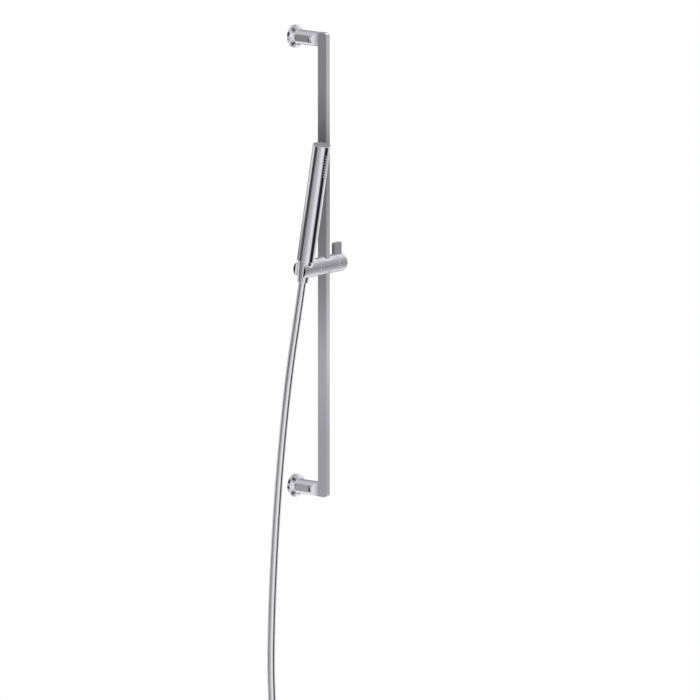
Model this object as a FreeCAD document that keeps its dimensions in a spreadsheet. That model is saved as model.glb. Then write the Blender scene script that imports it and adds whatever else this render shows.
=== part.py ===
import FreeCAD, Part
import math
import os
import types

import Sketcher
from FreeCAD import Placement, Rotation, Vector

# Shower slide rail with a clamping carriage, a tilting holder, a stick handset and a hose.
# Millimetres. +Z is up, the wall is the plane Y = 0 and the room lies towards -Y.
# The origin is on the wall, midway between the two wall fixings.

SIZES = {
    # wall fixings and bar
    "fixing_pitch": 711.0,
    "wall_reach": 60.0,
    "bar_depth": 17.5,
    "bar_width": 9.0,
    "bar_corner_radius": 4.5,
    "bar_edge_radius": 0.6,
    # posts between the wall and the bar
    "post_dia": 23.0,
    "post_across_flats": 20.4,
    "post_flat_start": 11.7,
    "post_flat_end": 36.5,
    "post_flat_root_radius": 4.5,
    "post_flat_runout_radius": 16.0,
    "post_neck_radius": 8.0,
    "post_wall_gap": 0.3,
    "post_spigot_dia": 22.0,
    "post_collar_dia": 27.4,
    "post_collar_thick": 1.6,
    "post_collar_fillet": 1.6,
    "post_collar_edge": 0.7,
    # wall flanges
    "flange_dia": 37.2,
    "flange_back_dia": 35.6,
    "flange_thick": 5.8,
    "flange_edge_radius": 0.9,
    "flange_bore_gap": 0.2,
    # bosses that the wall screws hold
    "boss_dia": 14.0,
    "boss_length": 14.0,
    "boss_gap": 0.1,
    "fixing_hole_dia": 5.5,
    "countersink_dia": 11.0,
    "grub_dia": 5.0,
    "grub_key": 2.5,
    "grub_key_depth": 2.5,
    "grub_place": 9.6,
    "grub_end": 12.2,
    # screws from the posts into the bar
    "post_screw_dia": 6.0,
    "post_screw_head_dia": 10.0,
    "post_screw_head_height": 6.0,
    "post_screw_key": 5.0,
    "post_screw_key_depth": 3.0,
    "post_screw_seat": 21.0,
    "post_screw_grip": 11.0,
    "post_screw_hole_spare": 1.0,
    "screw_hole_gap": 0.05,
    # carriage on the bar
    "barrel_dia": 28.0,
    "barrel_edge": 0.6,
    "carriage_length": 44.0,
    "seam_gap": 0.6,
    "liner_wall": 1.1,
    "liner_height": 18.0,
    "liner_gap": 0.1,
    "bar_gap": 0.2,
    "stub_dia": 14.0,
    "stub_length": 10.0,
    "running_gap": 0.08,
    # wire ring that keeps the knob on its stub
    "ring_place": 7.0,
    "ring_wire_dia": 1.2,
    "ring_groove_width": 2.0,
    "ring_groove_depth": 0.9,
    # clamp
    "plunger_dia": 8.0,
    "shoe_thick": 3.0,
    "shoe_gap": 0.1,
    "shoe_window_gap": 0.4,
    "plunger_engagement": 5.0,
    "plunger_room": 1.8,
    "knob_length": 19.4,
    "knob_chamfer": 1.0,
    "knob_floor_gap": 0.4,
    "tab_width": 17.2,
    "tab_thick": 4.7,
    "tab_height": 32.0,
    "tab_corner_radius": 1.8,
    "tab_edge_radius": 0.5,
    # holder that tilts on the carriage
    "handset_place": 46.9,
    "handset_tilt": 10.0,
    "holder_overhang": 12.4,
    "holder_end_radius": 1.4,
    "fork_gap": 18.0,
    "seat_gap": 0.15,
    "disc_dia": 22.0,
    "disc_gap": 0.05,
    "pivot_dia": 6.0,
    "pivot_head_dia": 10.0,
    "pivot_head_height": 4.0,
    "pivot_key": 4.0,
    "pivot_key_depth": 2.2,
    "pivot_web": 7.6,
    "pivot_grip": 12.0,
    "pivot_head_gap": 0.3,
    "spring_washer_thick": 1.0,
    # handset
    "handset_dia": 28.0,
    "handset_wall": 1.4,
    "handset_foot": 14.4,
    "handset_top": 203.3,
    "handset_fit_gap": 0.1,
    "cap_thick": 2.5,
    "cap_bevel": 0.8,
    "cap_plug_depth": 4.7,
    "cap_plug_gap": 0.5,
    "inlet_plug_length": 12.0,
    "inlet_recess": 0.6,
    "inlet_bore_dia": 12.0,
    # spray nozzles
    "spray_length": 42.0,
    "spray_turn": 10.0,
    "nozzle_pitch": 4.2,
    "nozzle_step": 12.0,
    "nozzle_dia": 2.0,
    "nozzle_tip_dia": 1.4,
    "nozzle_height": 1.1,
    "nozzle_hole_gap": 0.12,
    "strip_wall": 1.2,
    "strip_margin": 3.0,
    # cone nut and its seals
    "nut_top_dia": 24.0,
    "nut_foot_dia": 17.6,
    "nut_top": 14.2,
    "nut_drop": 21.0,
    "nut_shoulder": 5.0,
    "nut_wall_step": 7.0,
    "thread_dia": 20.9,
    "thread_gap": 0.1,
    "washer_dia": 18.8,
    "washer_bore_dia": 10.0,
    "washer_thick": 2.2,
    "ferrule_flange_dia": 18.8,
    "ferrule_flange_thick": 2.0,
    "ferrule_bore_dia": 9.0,
    # hose, its stored coil and its end fitting
    "hose_dia": 12.5,
    "hose_bore_gap": 0.35,
    "hose_top_gap": 0.3,
    "coil_mean_dia": 125.0,
    "coil_pitch": 13.0,
    "coil_turns": 2.0,
    "coil_edge_radius": 5.6,
    "tie_width": 12.0,
    "tie_thick": 1.0,
    "tie_gap": 0.5,
    "tail_length": 55.0,
    "end_sleeve_dia": 15.6,
    "end_sleeve_length": 10.0,
    "end_sleeve_floor": 2.0,
    "end_neck_dia": 12.0,
    "end_neck_length": 11.0,
    "end_nut_across_flats": 24.0,
    "end_nut_web": 8.8,
    "end_nut_bevel": 1.2,
    "end_nut_gap": 0.4,
    "end_thread_length": 10.0,
    "end_thread_bore_dia": 19.0,
    "end_thread_relief": 0.4,
}

# The hose's route below the nut, chosen by hand: X, Y, Z of each turn.
HOSE_ROUTE = [
    (-58.0, -41.0, -150.0),
    (-63.2, -31.0, -250.0),
    (-66.6, -23.0, -350.0),
    (-69.6, -17.6, -450.0),
    (-72.8, -15.0, -545.0),
    (-74.8, -14.6, -630.0),
    (-72.4, -15.2, -690.0),
    (-72.0, -15.0, -725.0),
]
HOSE_LEAD = 60.0  # straight stretch out of the nut, measured below the slider's axis
COIL_START = (-72.0, -15.0, -753.0)  # where the first turn of the coil leaves the hanging hose
RUN_SHARE = 0.45  # part of the shorter run that a bend may take up
SPRAY_COLUMNS = (-2, -1, 0, 1, 2)
JOIN_TOLERANCE = 1e-3  # how close the nozzles' roots are matched to their strip
TINY = 1e-4

doc = FreeCAD.newDocument("ShowerSlideRail")
nodes = []


class Size:
    """A measure with its value and the sheet expression that it comes from."""

    def __init__(self, value, text):
        self.value = value
        self.text = text

    def __add__(self, other):
        return Size(self.value + number(other), f"({self.text} + {words(other)})")

    def __sub__(self, other):
        return Size(self.value - number(other), f"({self.text} - {words(other)})")

    def __rsub__(self, other):
        return Size(number(other) - self.value, f"({words(other)} - {self.text})")

    def __mul__(self, other):
        return Size(self.value * number(other), f"({self.text} * {words(other)})")

    def __truediv__(self, other):
        return Size(self.value / number(other), f"({self.text} / {words(other)})")

    def __neg__(self):
        return Size(-self.value, f"(-{self.text})")

    __radd__ = __add__
    __rmul__ = __mul__


def number(measure):
    return measure.value if isinstance(measure, Size) else float(measure)


def words(measure):
    return measure.text if isinstance(measure, Size) else repr(measure)


def write_sheet():
    """The sheet of driving dimensions, and a name for each of them."""
    sheet = doc.addObject("Spreadsheet::Sheet", "Sizes")
    named = {}
    for row, (name, value) in enumerate(SIZES.items(), 1):
        sheet.set(f"A{row}", name)
        sheet.set(f"B{row}", str(value))
        sheet.setAlias(f"B{row}", name)
        named[name] = Size(value, f"Sizes.{name}")
    doc.recompute()
    return types.SimpleNamespace(**named)


d = write_sheet()


def bind(thing, field, measure):
    thing.setExpression(field, words(measure))


def place(piece, x=0, y=0, z=0, tilt=None):
    """Put a piece on its place, and lean it about the X axis where it has a tilt."""
    lean = Rotation(Vector(1, 0, 0), number(tilt)) if tilt else Rotation()
    piece.Placement = Placement(Vector(number(x), number(y), number(z)), lean)
    for axis, measure in (("x", x), ("y", y), ("z", z)):
        if isinstance(measure, Size):
            bind(piece, f"Placement.Base.{axis}", measure)
    if tilt:
        bind(piece, "Placement.Rotation.Angle", tilt)


def sketch_on(body, name, role):
    sketch = body.newObject("Sketcher::SketchObject", name)
    plane = next(feature for feature in body.Origin.OriginFeatures if feature.Role == role)
    sketch.AttachmentSupport = [(plane, "")]
    sketch.MapMode = "FlatFace"
    return sketch


def pin_point(sketch, curve, end, x, y):
    """Tie a point of a curve to its two measures from the sketch's origin."""
    for kind, measure in (("DistanceX", x), ("DistanceY", y)):
        tie = sketch.addConstraint(Sketcher.Constraint(kind, -1, 1, curve, end, number(measure)))
        bind(sketch, f"Constraints[{tie}]", measure)


def draw_outline(sketch, points):
    """A closed outline of straight edges through the points."""
    first = sketch.GeometryCount
    corners = [Vector(number(x), number(y), 0) for x, y in points]
    for here, there in zip(corners, corners[1:] + corners[:1]):
        sketch.addGeometry(Part.LineSegment(here, there), False)
    count = len(points)
    for step in range(count):
        after = first + (step + 1) % count
        sketch.addConstraint(Sketcher.Constraint("Coincident", first + step, 2, after, 1))
    for step, (x, y) in enumerate(points):
        pin_point(sketch, first + step, 1, x, y)


def draw_circle(sketch, x, y, radius):
    middle = Vector(number(x), number(y), 0)
    curve = sketch.addGeometry(Part.Circle(middle, Vector(0, 0, 1), number(radius)), False)
    pin_point(sketch, curve, 3, x, y)
    tie = sketch.addConstraint(Sketcher.Constraint("Radius", curve, number(radius)))
    bind(sketch, f"Constraints[{tie}]", radius)


def rectangle(x0, x1, y0, y1):
    return [(x0, y0), (x1, y0), (x1, y1), (x0, y1)]


def turned(label, axis, points):
    """A piece turned about one of its own axes from a half profile."""
    role, about = {
        "X": ("XY_Plane", "H_Axis"),
        "Y": ("XY_Plane", "V_Axis"),
        "Z": ("XZ_Plane", "V_Axis"),
    }[axis]
    body = doc.addObject("PartDesign::Body", label)
    sketch = sketch_on(body, f"{label}_profile", role)
    draw_outline(sketch, points)
    spin = body.newObject("PartDesign::Revolution", f"{label}_turned")
    spin.Profile = sketch
    spin.ReferenceAxis = (sketch, [about])
    spin.Angle = 360
    doc.recompute()
    return body


def padded(label, role, length, *outlines):
    """A piece of one section, made to both sides of its sketch."""
    body = doc.addObject("PartDesign::Body", label)
    add_pad(body, f"{label}_pad", role, length, *outlines)
    return body


def add_pad(body, name, role, length, *outlines):
    sketch = sketch_on(body, f"{name}_sketch", role)
    for points in outlines:
        draw_outline(sketch, points)
    pad = body.newObject("PartDesign::Pad", name)
    pad.Profile = sketch
    pad.SideType = "Symmetric"
    bind(pad, "Length", length)
    doc.recompute()


def cut(body, name, sketch, sides="Symmetric", depth=None, reverse=False):
    """Cut a sketch through the piece, or to a depth."""
    doc.recompute()
    before = body.Shape.Volume
    pocket = body.newObject("PartDesign::Pocket", name)
    pocket.Profile = sketch
    pocket.SideType = sides
    pocket.Reversed = reverse
    if depth is None:
        pocket.Type = "ThroughAll"
    else:
        bind(pocket, "Length", depth)
    doc.recompute()
    if body.Shape.Volume > before - TINY:
        raise RuntimeError(f"{name} cuts nothing")


def round_edges(body, radius, axis, along):
    """Names of the round edges of a radius whose centre lies at a place along an axis."""
    names = []
    for count, edge in enumerate(body.Shape.Edges, 1):
        curve = edge.Curve
        if not isinstance(curve, Part.Circle):
            continue
        near = abs(getattr(curve.Center, axis) - number(along)) < TINY
        if near and abs(curve.Radius - number(radius)) < TINY:
            names.append(f"Edge{count}")
    return names


def straight_edges(body, axis, keep):
    """Names of the straight edges along an axis whose middle passes a test."""
    names = []
    for count, edge in enumerate(body.Shape.Edges, 1):
        if not isinstance(edge.Curve, Part.Line):
            continue
        along = abs(getattr(edge.Curve.Direction, axis)) > 1 - TINY
        if along and keep(edge.CenterOfMass):
            names.append(f"Edge{count}")
    return names


def dress(body, kind, name, edges, measure):
    """A fillet or a chamfer on named edges of the piece's last feature."""
    base = body.Tip
    feature = body.newObject(f"PartDesign::{kind}", name)
    feature.Base = (base, edges)
    bind(feature, "Radius" if kind == "Fillet" else "Size", measure)
    doc.recompute()


def hexagon(across):
    """Corners of a hexagon of a width across its flats, with two flats along X."""
    side = across / math.sqrt(3)
    return [
        (side, 0),
        (side / 2, across / 2),
        (-side / 2, across / 2),
        (-side, 0),
        (-side / 2, -across / 2),
        (side / 2, -across / 2),
    ]


def keep(piece, label=None):
    """List a finished piece as a node."""
    piece.Label = label or piece.Label
    nodes.append(piece)


def group(label, pieces):
    """Equal pieces as one node of separate solids."""
    compound = doc.addObject("Part::Compound", label)
    compound.Links = pieces
    keep(compound)


bar_back = d.wall_reach - d.bar_depth / 2
bar_front = d.wall_reach + d.bar_depth / 2
post_radius = d.post_dia / 2
bar_top = d.fixing_pitch / 2 + post_radius
fixing_heights = (("upper", d.fixing_pitch / 2), ("lower", -d.fixing_pitch / 2))
barrel_radius = d.barrel_dia / 2
carriage_end = d.carriage_length / 2
stub_end = carriage_end + d.stub_length
slider = dict(y=-d.wall_reach)
seat = dict(x=-d.handset_place, y=-d.wall_reach, tilt=d.handset_tilt)


def rail_bar():
    bar = padded("rail_bar", "YZ_Plane", d.bar_width, rectangle(-bar_front, -bar_back, -bar_top, bar_top))
    hole_depth = bar_back + d.post_screw_grip + d.post_screw_hole_spare
    holes = sketch_on(bar, "rail_bar_screw_holes", "XZ_Plane")
    for _, height in fixing_heights:
        draw_circle(holes, 0, height, d.post_screw_dia / 2 + d.screw_hole_gap)
    cut(bar, "rail_bar_tapped", holes, "One side", hole_depth, reverse=True)
    front = straight_edges(bar, "x", lambda middle: middle.y < -bar_front.value + TINY)
    dress(bar, "Fillet", "rail_bar_corners", front, d.bar_corner_radius)
    long_edges = straight_edges(bar, "z", lambda middle: True)
    dress(bar, "Fillet", "rail_bar_edges", long_edges, d.bar_edge_radius)
    keep(bar)


def post(name, height):
    """A turned post with two milled flats, necked down to the bar's width."""
    label = f"{name}_post"
    collar_face = d.flange_thick + d.post_collar_thick
    socket = d.boss_dia / 2 + d.boss_gap
    shaft = d.post_screw_dia / 2 + d.screw_hole_gap
    body = turned(label, "Y", [
        (socket, -d.post_wall_gap),
        (d.post_spigot_dia / 2, -d.post_wall_gap),
        (d.post_spigot_dia / 2, -d.flange_thick),
        (d.post_collar_dia / 2, -d.flange_thick),
        (d.post_collar_dia / 2, -collar_face),
        (post_radius, -collar_face),
        (post_radius, -bar_back),
        (shaft, -bar_back),
        (shaft, -d.post_screw_seat),
        (socket, -d.post_screw_seat),
    ])
    dress(body, "Fillet", f"{label}_root", round_edges(body, post_radius, "y", -collar_face),
          d.post_collar_fillet)
    dress(body, "Fillet", f"{label}_rim", round_edges(body, d.post_collar_dia / 2, "y", -collar_face),
          d.post_collar_edge)
    flat = d.post_across_flats / 2
    flats = sketch_on(body, f"{label}_flats_sketch", "XY_Plane")
    for side in (-1, 1):
        draw_outline(flats, rectangle(side * flat, side * d.post_dia, -d.post_flat_end, -d.post_flat_start))
    cut(body, f"{label}_flats", flats)
    rounds = (
        ("roots", d.post_flat_root_radius, flat + d.post_flat_root_radius, d.post_flat_start),
        ("runouts", d.post_flat_runout_radius, flat + d.post_flat_runout_radius, d.post_flat_end),
        ("necks", d.post_neck_radius, d.bar_width / 2 + d.post_neck_radius, bar_back),
    )
    for part, radius, aside, out in rounds:
        sketch = sketch_on(body, f"{label}_{part}_sketch", "XY_Plane")
        for side in (-1, 1):
            draw_circle(sketch, side * aside, -out, radius)
        cut(body, f"{label}_{part}", sketch)
    grub = sketch_on(body, f"{label}_grub_sketch", "XY_Plane")
    draw_circle(grub, 0, -d.grub_place, d.grub_dia / 2 + d.screw_hole_gap)
    cut(body, f"{label}_grub_hole", grub, "One side")
    place(body, z=height)
    keep(body)


def wall_flange(name, height):
    """The cover ring that the post's collar holds against the wall."""
    label = f"{name}_wall_flange"
    bore = d.post_spigot_dia / 2 + d.flange_bore_gap
    body = turned(label, "Y", [
        (bore, 0),
        (d.flange_back_dia / 2, 0),
        (d.flange_dia / 2, -d.flange_thick),
        (bore, -d.flange_thick),
    ])
    dress(body, "Fillet", f"{label}_edge", round_edges(body, d.flange_dia / 2, "y", -d.flange_thick),
          d.flange_edge_radius)
    place(body, z=height)
    keep(body)


def wall_boss(name, height):
    """The boss that a countersunk wall screw holds, inside the foot of the post."""
    hole = d.fixing_hole_dia / 2
    sink = d.countersink_dia / 2
    body = turned(f"{name}_wall_boss", "Y", [
        (hole, 0),
        (d.boss_dia / 2, 0),
        (d.boss_dia / 2, -d.boss_length),
        (sink, -d.boss_length),
        (hole, -(d.boss_length - sink + hole)),
    ])
    place(body, z=height)
    keep(body)


def key_hole(body, name, role, across, depth, reverse=False):
    """A hexagon socket in the end of a screw."""
    sketch = sketch_on(body, f"{name}_sketch", role)
    draw_outline(sketch, hexagon(across))
    cut(body, name, sketch, "One side", depth, reverse)


def boss_grub_screws():
    """Socket set screws that lock each post on its boss from below."""
    screws = []
    for name, height in fixing_heights:
        body = turned(f"{name}_grub_screw", "Z", [
            (0, 0),
            (d.grub_dia / 2, 0),
            (d.grub_dia / 2, d.grub_end - d.boss_dia / 2),
            (0, d.grub_end - d.boss_dia / 2),
        ])
        key_hole(body, f"{name}_grub_key", "XY_Plane", d.grub_key, d.grub_key_depth, reverse=True)
        place(body, y=-d.grub_place, z=height - d.grub_end)
        screws.append(body)
    group("boss_grub_screws", screws)


def post_screws():
    """Socket head screws inside the posts, which pull the bar onto them."""
    screws = []
    head = d.post_screw_seat - d.post_screw_head_height
    for name, height in fixing_heights:
        body = turned(f"{name}_post_screw", "Y", [
            (0, 0),
            (d.post_screw_head_dia / 2, 0),
            (d.post_screw_head_dia / 2, -d.post_screw_head_height),
            (d.post_screw_dia / 2, -d.post_screw_head_height),
            (d.post_screw_dia / 2, -(bar_back - head + d.post_screw_grip)),
            (0, -(bar_back - head + d.post_screw_grip)),
        ])
        key_hole(body, f"{name}_post_screw_key", "XZ_Plane", d.post_screw_key, d.post_screw_key_depth, reverse=True)
        place(body, y=-head, z=height)
        screws.append(body)
    group("post_screws", screws)


def carriage_body():
    """The barrel that slides on the bar, with a stub for the knob."""
    slot_x = d.bar_width / 2 + d.bar_gap + d.liner_wall + d.liner_gap
    slot_y = d.bar_depth / 2 + d.bar_gap + d.liner_wall + d.liner_gap
    stub = d.stub_dia / 2
    ring_near = carriage_end + d.ring_place - d.ring_groove_width / 2
    ring_far = carriage_end + d.ring_place + d.ring_groove_width / 2
    bore = d.plunger_dia / 2 + d.running_gap
    pivot_hole = d.pivot_dia / 2 + d.screw_hole_gap
    body = turned("carriage_body", "X", [
        (-carriage_end, pivot_hole),
        (-carriage_end, barrel_radius),
        (carriage_end, barrel_radius),
        (carriage_end, stub),
        (ring_near, stub),
        (ring_near, stub - d.ring_groove_depth),
        (ring_far, stub - d.ring_groove_depth),
        (ring_far, stub),
        (stub_end, stub),
        (stub_end, bore),
        (0, bore),
        (0, 0),
        (d.pivot_grip - carriage_end, 0),
        (d.pivot_grip - carriage_end, pivot_hole),
    ])
    for side, end in (("left", -carriage_end), ("right", carriage_end)):
        dress(body, "Chamfer", f"carriage_{side}_edge", round_edges(body, barrel_radius, "x", end), d.barrel_edge)
    slot = sketch_on(body, "carriage_slot_sketch", "XY_Plane")
    draw_outline(slot, rectangle(-slot_x, slot_x, -slot_y, slot_y))
    cut(body, "carriage_slot", slot)
    place(body, **slider)
    keep(body)


def slide_liner():
    """The plastic sleeve between the carriage and the bar, with a window for the shoe."""
    inner_x = d.bar_width / 2 + d.bar_gap
    inner_y = d.bar_depth / 2 + d.bar_gap
    outer_x = inner_x + d.liner_wall
    outer_y = inner_y + d.liner_wall
    body = padded("slide_liner", "XY_Plane", d.liner_height,
                  rectangle(-outer_x, outer_x, -outer_y, outer_y),
                  rectangle(-inner_x, inner_x, -inner_y, inner_y))
    window = sketch_on(body, "slide_liner_window_sketch", "YZ_Plane")
    draw_circle(window, 0, 0, d.plunger_dia / 2 + d.shoe_window_gap)
    cut(body, "slide_liner_window", window, "One side", reverse=True)
    place(body, **slider)
    keep(body)


def knob_ring():
    """The wire ring in the grooves of the stub and the knob."""
    wire = doc.addObject("Part::Torus", "knob_ring")
    bind(wire, "Radius1", d.stub_dia / 2)
    bind(wire, "Radius2", d.ring_wire_dia / 2)
    wire.Placement = Placement(Vector(), Rotation(Vector(0, 1, 0), 90))
    bind(wire, "Placement.Base.x", carriage_end + d.ring_place)
    bind(wire, "Placement.Base.y", -d.wall_reach)
    keep(wire)


shoe_face = d.bar_width / 2 + d.shoe_gap
shoe_back = shoe_face + d.shoe_thick
plunger_tail = stub_end + d.plunger_engagement


def brake_shoe():
    """The plastic shoe that bears on the side of the bar."""
    radius = d.plunger_dia / 2
    body = turned("brake_shoe", "X", [(shoe_face, 0), (shoe_face, radius), (shoe_back, radius), (shoe_back, 0)])
    place(body, **slider)
    keep(body)


def clamp_plunger():
    """The threaded plunger that the knob draws in and out along its bore."""
    radius = d.plunger_dia / 2
    body = turned("clamp_plunger", "X", [
        (shoe_back, 0), (shoe_back, radius), (plunger_tail, radius), (plunger_tail, 0),
    ])
    place(body, **slider)
    keep(body)


def clamp_knob():
    """The knob with its lever tab, threaded on the plunger and captive on the stub."""
    near = carriage_end + d.seam_gap
    far = near + d.knob_length
    bore = d.stub_dia / 2 + d.running_gap
    thread = d.plunger_dia / 2 + d.running_gap
    ring_near = carriage_end + d.ring_place - d.ring_groove_width / 2
    ring_far = carriage_end + d.ring_place + d.ring_groove_width / 2
    body = turned("clamp_knob", "X", [
        (near, bore),
        (near, barrel_radius),
        (far, barrel_radius),
        (far, 0),
        (plunger_tail + d.plunger_room, 0),
        (plunger_tail + d.plunger_room, thread),
        (stub_end + d.knob_floor_gap, thread),
        (stub_end + d.knob_floor_gap, bore),
        (ring_far, bore),
        (ring_far, bore + d.ring_groove_depth),
        (ring_near, bore + d.ring_groove_depth),
        (ring_near, bore),
    ])
    dress(body, "Chamfer", "knob_end_edge", round_edges(body, barrel_radius, "x", far), d.knob_chamfer)
    dress(body, "Chamfer", "knob_seam_edge", round_edges(body, barrel_radius, "x", near), d.knob_chamfer)
    middle = near + d.knob_length / 2
    side = d.tab_width / 2
    root = (barrel_radius + bore + d.ring_groove_depth) / 2
    add_pad(body, "knob_tab", "XZ_Plane", d.tab_thick, rectangle(middle - side, middle + side, root, d.tab_height))
    top = straight_edges(body, "y", lambda spot: spot.z > d.tab_height.value - TINY)
    dress(body, "Fillet", "knob_tab_corners", top, d.tab_corner_radius)
    upright = straight_edges(body, "z", lambda spot: spot.z > barrel_radius.value)
    dress(body, "Fillet", "knob_tab_edges", upright, d.tab_edge_radius)
    place(body, **slider)
    keep(body)


holder_near = d.handset_place - carriage_end - d.seam_gap
web_face = holder_near - d.pivot_web
nut_slope = (d.nut_top_dia - d.nut_foot_dia) / 2 / (d.nut_top + d.nut_drop)


def nut_radius(height):
    """Outer radius of the cone nut at a height above the slider's axis."""
    return d.nut_foot_dia / 2 + (height + d.nut_drop) * nut_slope


def holder_fork():
    """The tilting barrel with a tapered seat for the nut, open to the left for the hose."""
    head = d.pivot_head_dia / 2 + d.pivot_head_gap
    hole = d.pivot_dia / 2 + d.running_gap
    body = turned("holder_fork", "X", [
        (-d.holder_overhang, 0),
        (-d.holder_overhang, barrel_radius),
        (holder_near, barrel_radius),
        (holder_near, hole),
        (web_face, hole),
        (web_face, head),
        (0, head),
        (0, 0),
    ])
    dress(body, "Fillet", "holder_end_edge", round_edges(body, barrel_radius, "x", -d.holder_overhang),
          d.holder_end_radius)
    dress(body, "Chamfer", "holder_seam_edge", round_edges(body, barrel_radius, "x", holder_near), d.barrel_edge)
    taper = sketch_on(body, "holder_seat_sketch", "XZ_Plane")
    draw_outline(taper, [
        (0, -barrel_radius),
        (nut_radius(-barrel_radius) + d.seat_gap, -barrel_radius),
        (nut_radius(barrel_radius) + d.seat_gap, barrel_radius),
        (0, barrel_radius),
    ])
    groove = body.newObject("PartDesign::Groove", "holder_seat")
    groove.Profile = taper
    groove.ReferenceAxis = (taper, ["V_Axis"])
    groove.Angle = 360
    doc.recompute()
    mouth = sketch_on(body, "holder_mouth_sketch", "XY_Plane")
    draw_outline(mouth, rectangle(-d.holder_overhang * 2, 0, -d.fork_gap / 2, d.fork_gap / 2))
    cut(body, "holder_mouth", mouth)
    place(body, **seat)
    keep(body)


def tilt_disc():
    """The friction disc in the seam between the carriage and the holder."""
    near = carriage_end + d.disc_gap
    far = carriage_end + d.seam_gap - d.disc_gap
    bore = d.pivot_dia / 2 + d.pivot_head_gap
    body = turned("tilt_disc", "X", [
        (-far, bore), (-far, d.disc_dia / 2), (-near, d.disc_dia / 2), (-near, bore),
    ])
    place(body, **slider)
    keep(body)


def spring_washer():
    """The dished washer under the pivot screw's head, which keeps the holder stiff."""
    face = d.handset_place - web_face
    bore = d.pivot_dia / 2 + d.pivot_head_gap
    rim = d.pivot_head_dia / 2
    near = face + d.disc_gap
    far = face + d.spring_washer_thick
    half = d.spring_washer_thick / 2
    body = turned("spring_washer", "X", [
        (-far, bore), (-far + half, rim), (-near, rim), (-near - half + d.disc_gap, bore),
    ])
    place(body, **slider)
    keep(body)


def pivot_screw():
    """The shouldered screw that the holder turns on, fixed in the carriage."""
    under_head = d.handset_place - web_face + d.spring_washer_thick
    shank = under_head - carriage_end + d.pivot_grip
    body = turned("pivot_screw", "X", [
        (0, 0),
        (0, d.pivot_head_dia / 2),
        (d.pivot_head_height, d.pivot_head_dia / 2),
        (d.pivot_head_height, d.pivot_dia / 2),
        (d.pivot_head_height + shank, d.pivot_dia / 2),
        (d.pivot_head_height + shank, 0),
    ])
    key_hole(body, "pivot_screw_key", "YZ_Plane", d.pivot_key, d.pivot_key_depth, reverse=True)
    place(body, x=-(under_head + d.pivot_head_height), y=-d.wall_reach)
    keep(body)


handset_radius = d.handset_dia / 2
handset_bore = handset_radius - d.handset_wall
tube_top = d.handset_top - d.cap_thick
plug_foot = tube_top - d.cap_plug_depth
strip_top = plug_foot - d.cap_plug_gap
spray_middle = strip_top - d.strip_margin - d.spray_length / 2


def nozzle_places():
    """Height and angle of each nozzle: staggered columns, shorter at the sides."""
    places = []
    for column in SPRAY_COLUMNS:
        reach = d.spray_length.value / 2 - abs(column) * d.nozzle_pitch.value / 2
        rows = math.floor(2 * reach / d.nozzle_pitch.value + TINY) + 1
        first = spray_middle.value - (rows - 1) * d.nozzle_pitch.value / 2
        angle = d.spray_turn.value + column * d.nozzle_step.value
        places += [(first + row * d.nozzle_pitch.value, angle) for row in range(rows)]
    return places


def outward(angle):
    """Direction out of the handset, measured from its front towards +X."""
    turn = math.radians(angle)
    return Vector(math.sin(turn), -math.cos(turn), 0)


def handset_tube():
    """The handset's barrel, pierced for the nozzles."""
    barrel = turned("handset_barrel", "Z", [
        (handset_bore, d.handset_foot),
        (handset_radius, d.handset_foot),
        (handset_radius, tube_top),
        (handset_bore, tube_top),
    ])
    radius = d.nozzle_dia.value / 2 + d.nozzle_hole_gap.value
    drills = []
    for height, angle in nozzle_places():
        start = outward(angle) * (handset_bore.value - d.handset_wall.value) + Vector(0, 0, height)
        drills.append(Part.makeCylinder(radius, d.handset_wall.value * 4, start, outward(angle)))
    holes = doc.addObject("Part::Feature", "nozzle_holes")
    holes.Shape = Part.Compound(drills)
    tube = doc.addObject("Part::Cut", "handset_tube")
    tube.Base = barrel
    tube.Tool = holes
    place(tube, **seat)
    keep(tube)


def nozzle_strip():
    """The soft strip inside the barrel, with its nozzles standing through the holes."""
    outer = handset_bore.value - d.handset_fit_gap.value
    height = d.spray_length.value + 2 * d.strip_margin.value
    low = strip_top.value - height
    margin = math.degrees(d.strip_margin.value / outer)
    spread = (max(SPRAY_COLUMNS) - min(SPRAY_COLUMNS)) * d.nozzle_step.value + 2 * margin
    start = d.spray_turn.value + min(SPRAY_COLUMNS) * d.nozzle_step.value - margin
    foot = Vector(0, 0, low)
    up = Vector(0, 0, 1)
    strip = Part.makeCylinder(outer, height, foot, up, spread)
    strip = strip.cut(Part.makeCylinder(outer - d.strip_wall.value, height, foot, up))
    strip.rotate(Vector(), up, start - 90)
    root = outer - d.strip_wall.value / 2
    length = handset_radius.value + d.nozzle_height.value - root
    nubs = []
    for level, angle in nozzle_places():
        base = outward(angle) * root + Vector(0, 0, level)
        nubs.append(Part.makeCone(d.nozzle_dia.value / 2, d.nozzle_tip_dia.value / 2, length, base, outward(angle)))
    piece = doc.addObject("Part::Feature", "nozzle_strip")
    piece.Shape = strip.multiFuse(nubs, JOIN_TOLERANCE)
    place(piece, **seat)
    keep(piece)


def handset_cap():
    """The flat cap that closes the top of the barrel."""
    plug = handset_bore - d.handset_fit_gap
    body = turned("handset_cap", "Z", [
        (0, plug_foot),
        (plug, plug_foot),
        (plug, tube_top),
        (handset_radius, tube_top),
        (handset_radius, d.handset_top),
        (0, d.handset_top),
    ])
    dress(body, "Chamfer", "handset_cap_bevel", round_edges(body, handset_radius, "z", d.handset_top), d.cap_bevel)
    place(body, **seat)
    keep(body)


washer_foot = d.nut_shoulder + d.ferrule_flange_thick
washer_top = washer_foot + d.washer_thick


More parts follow.
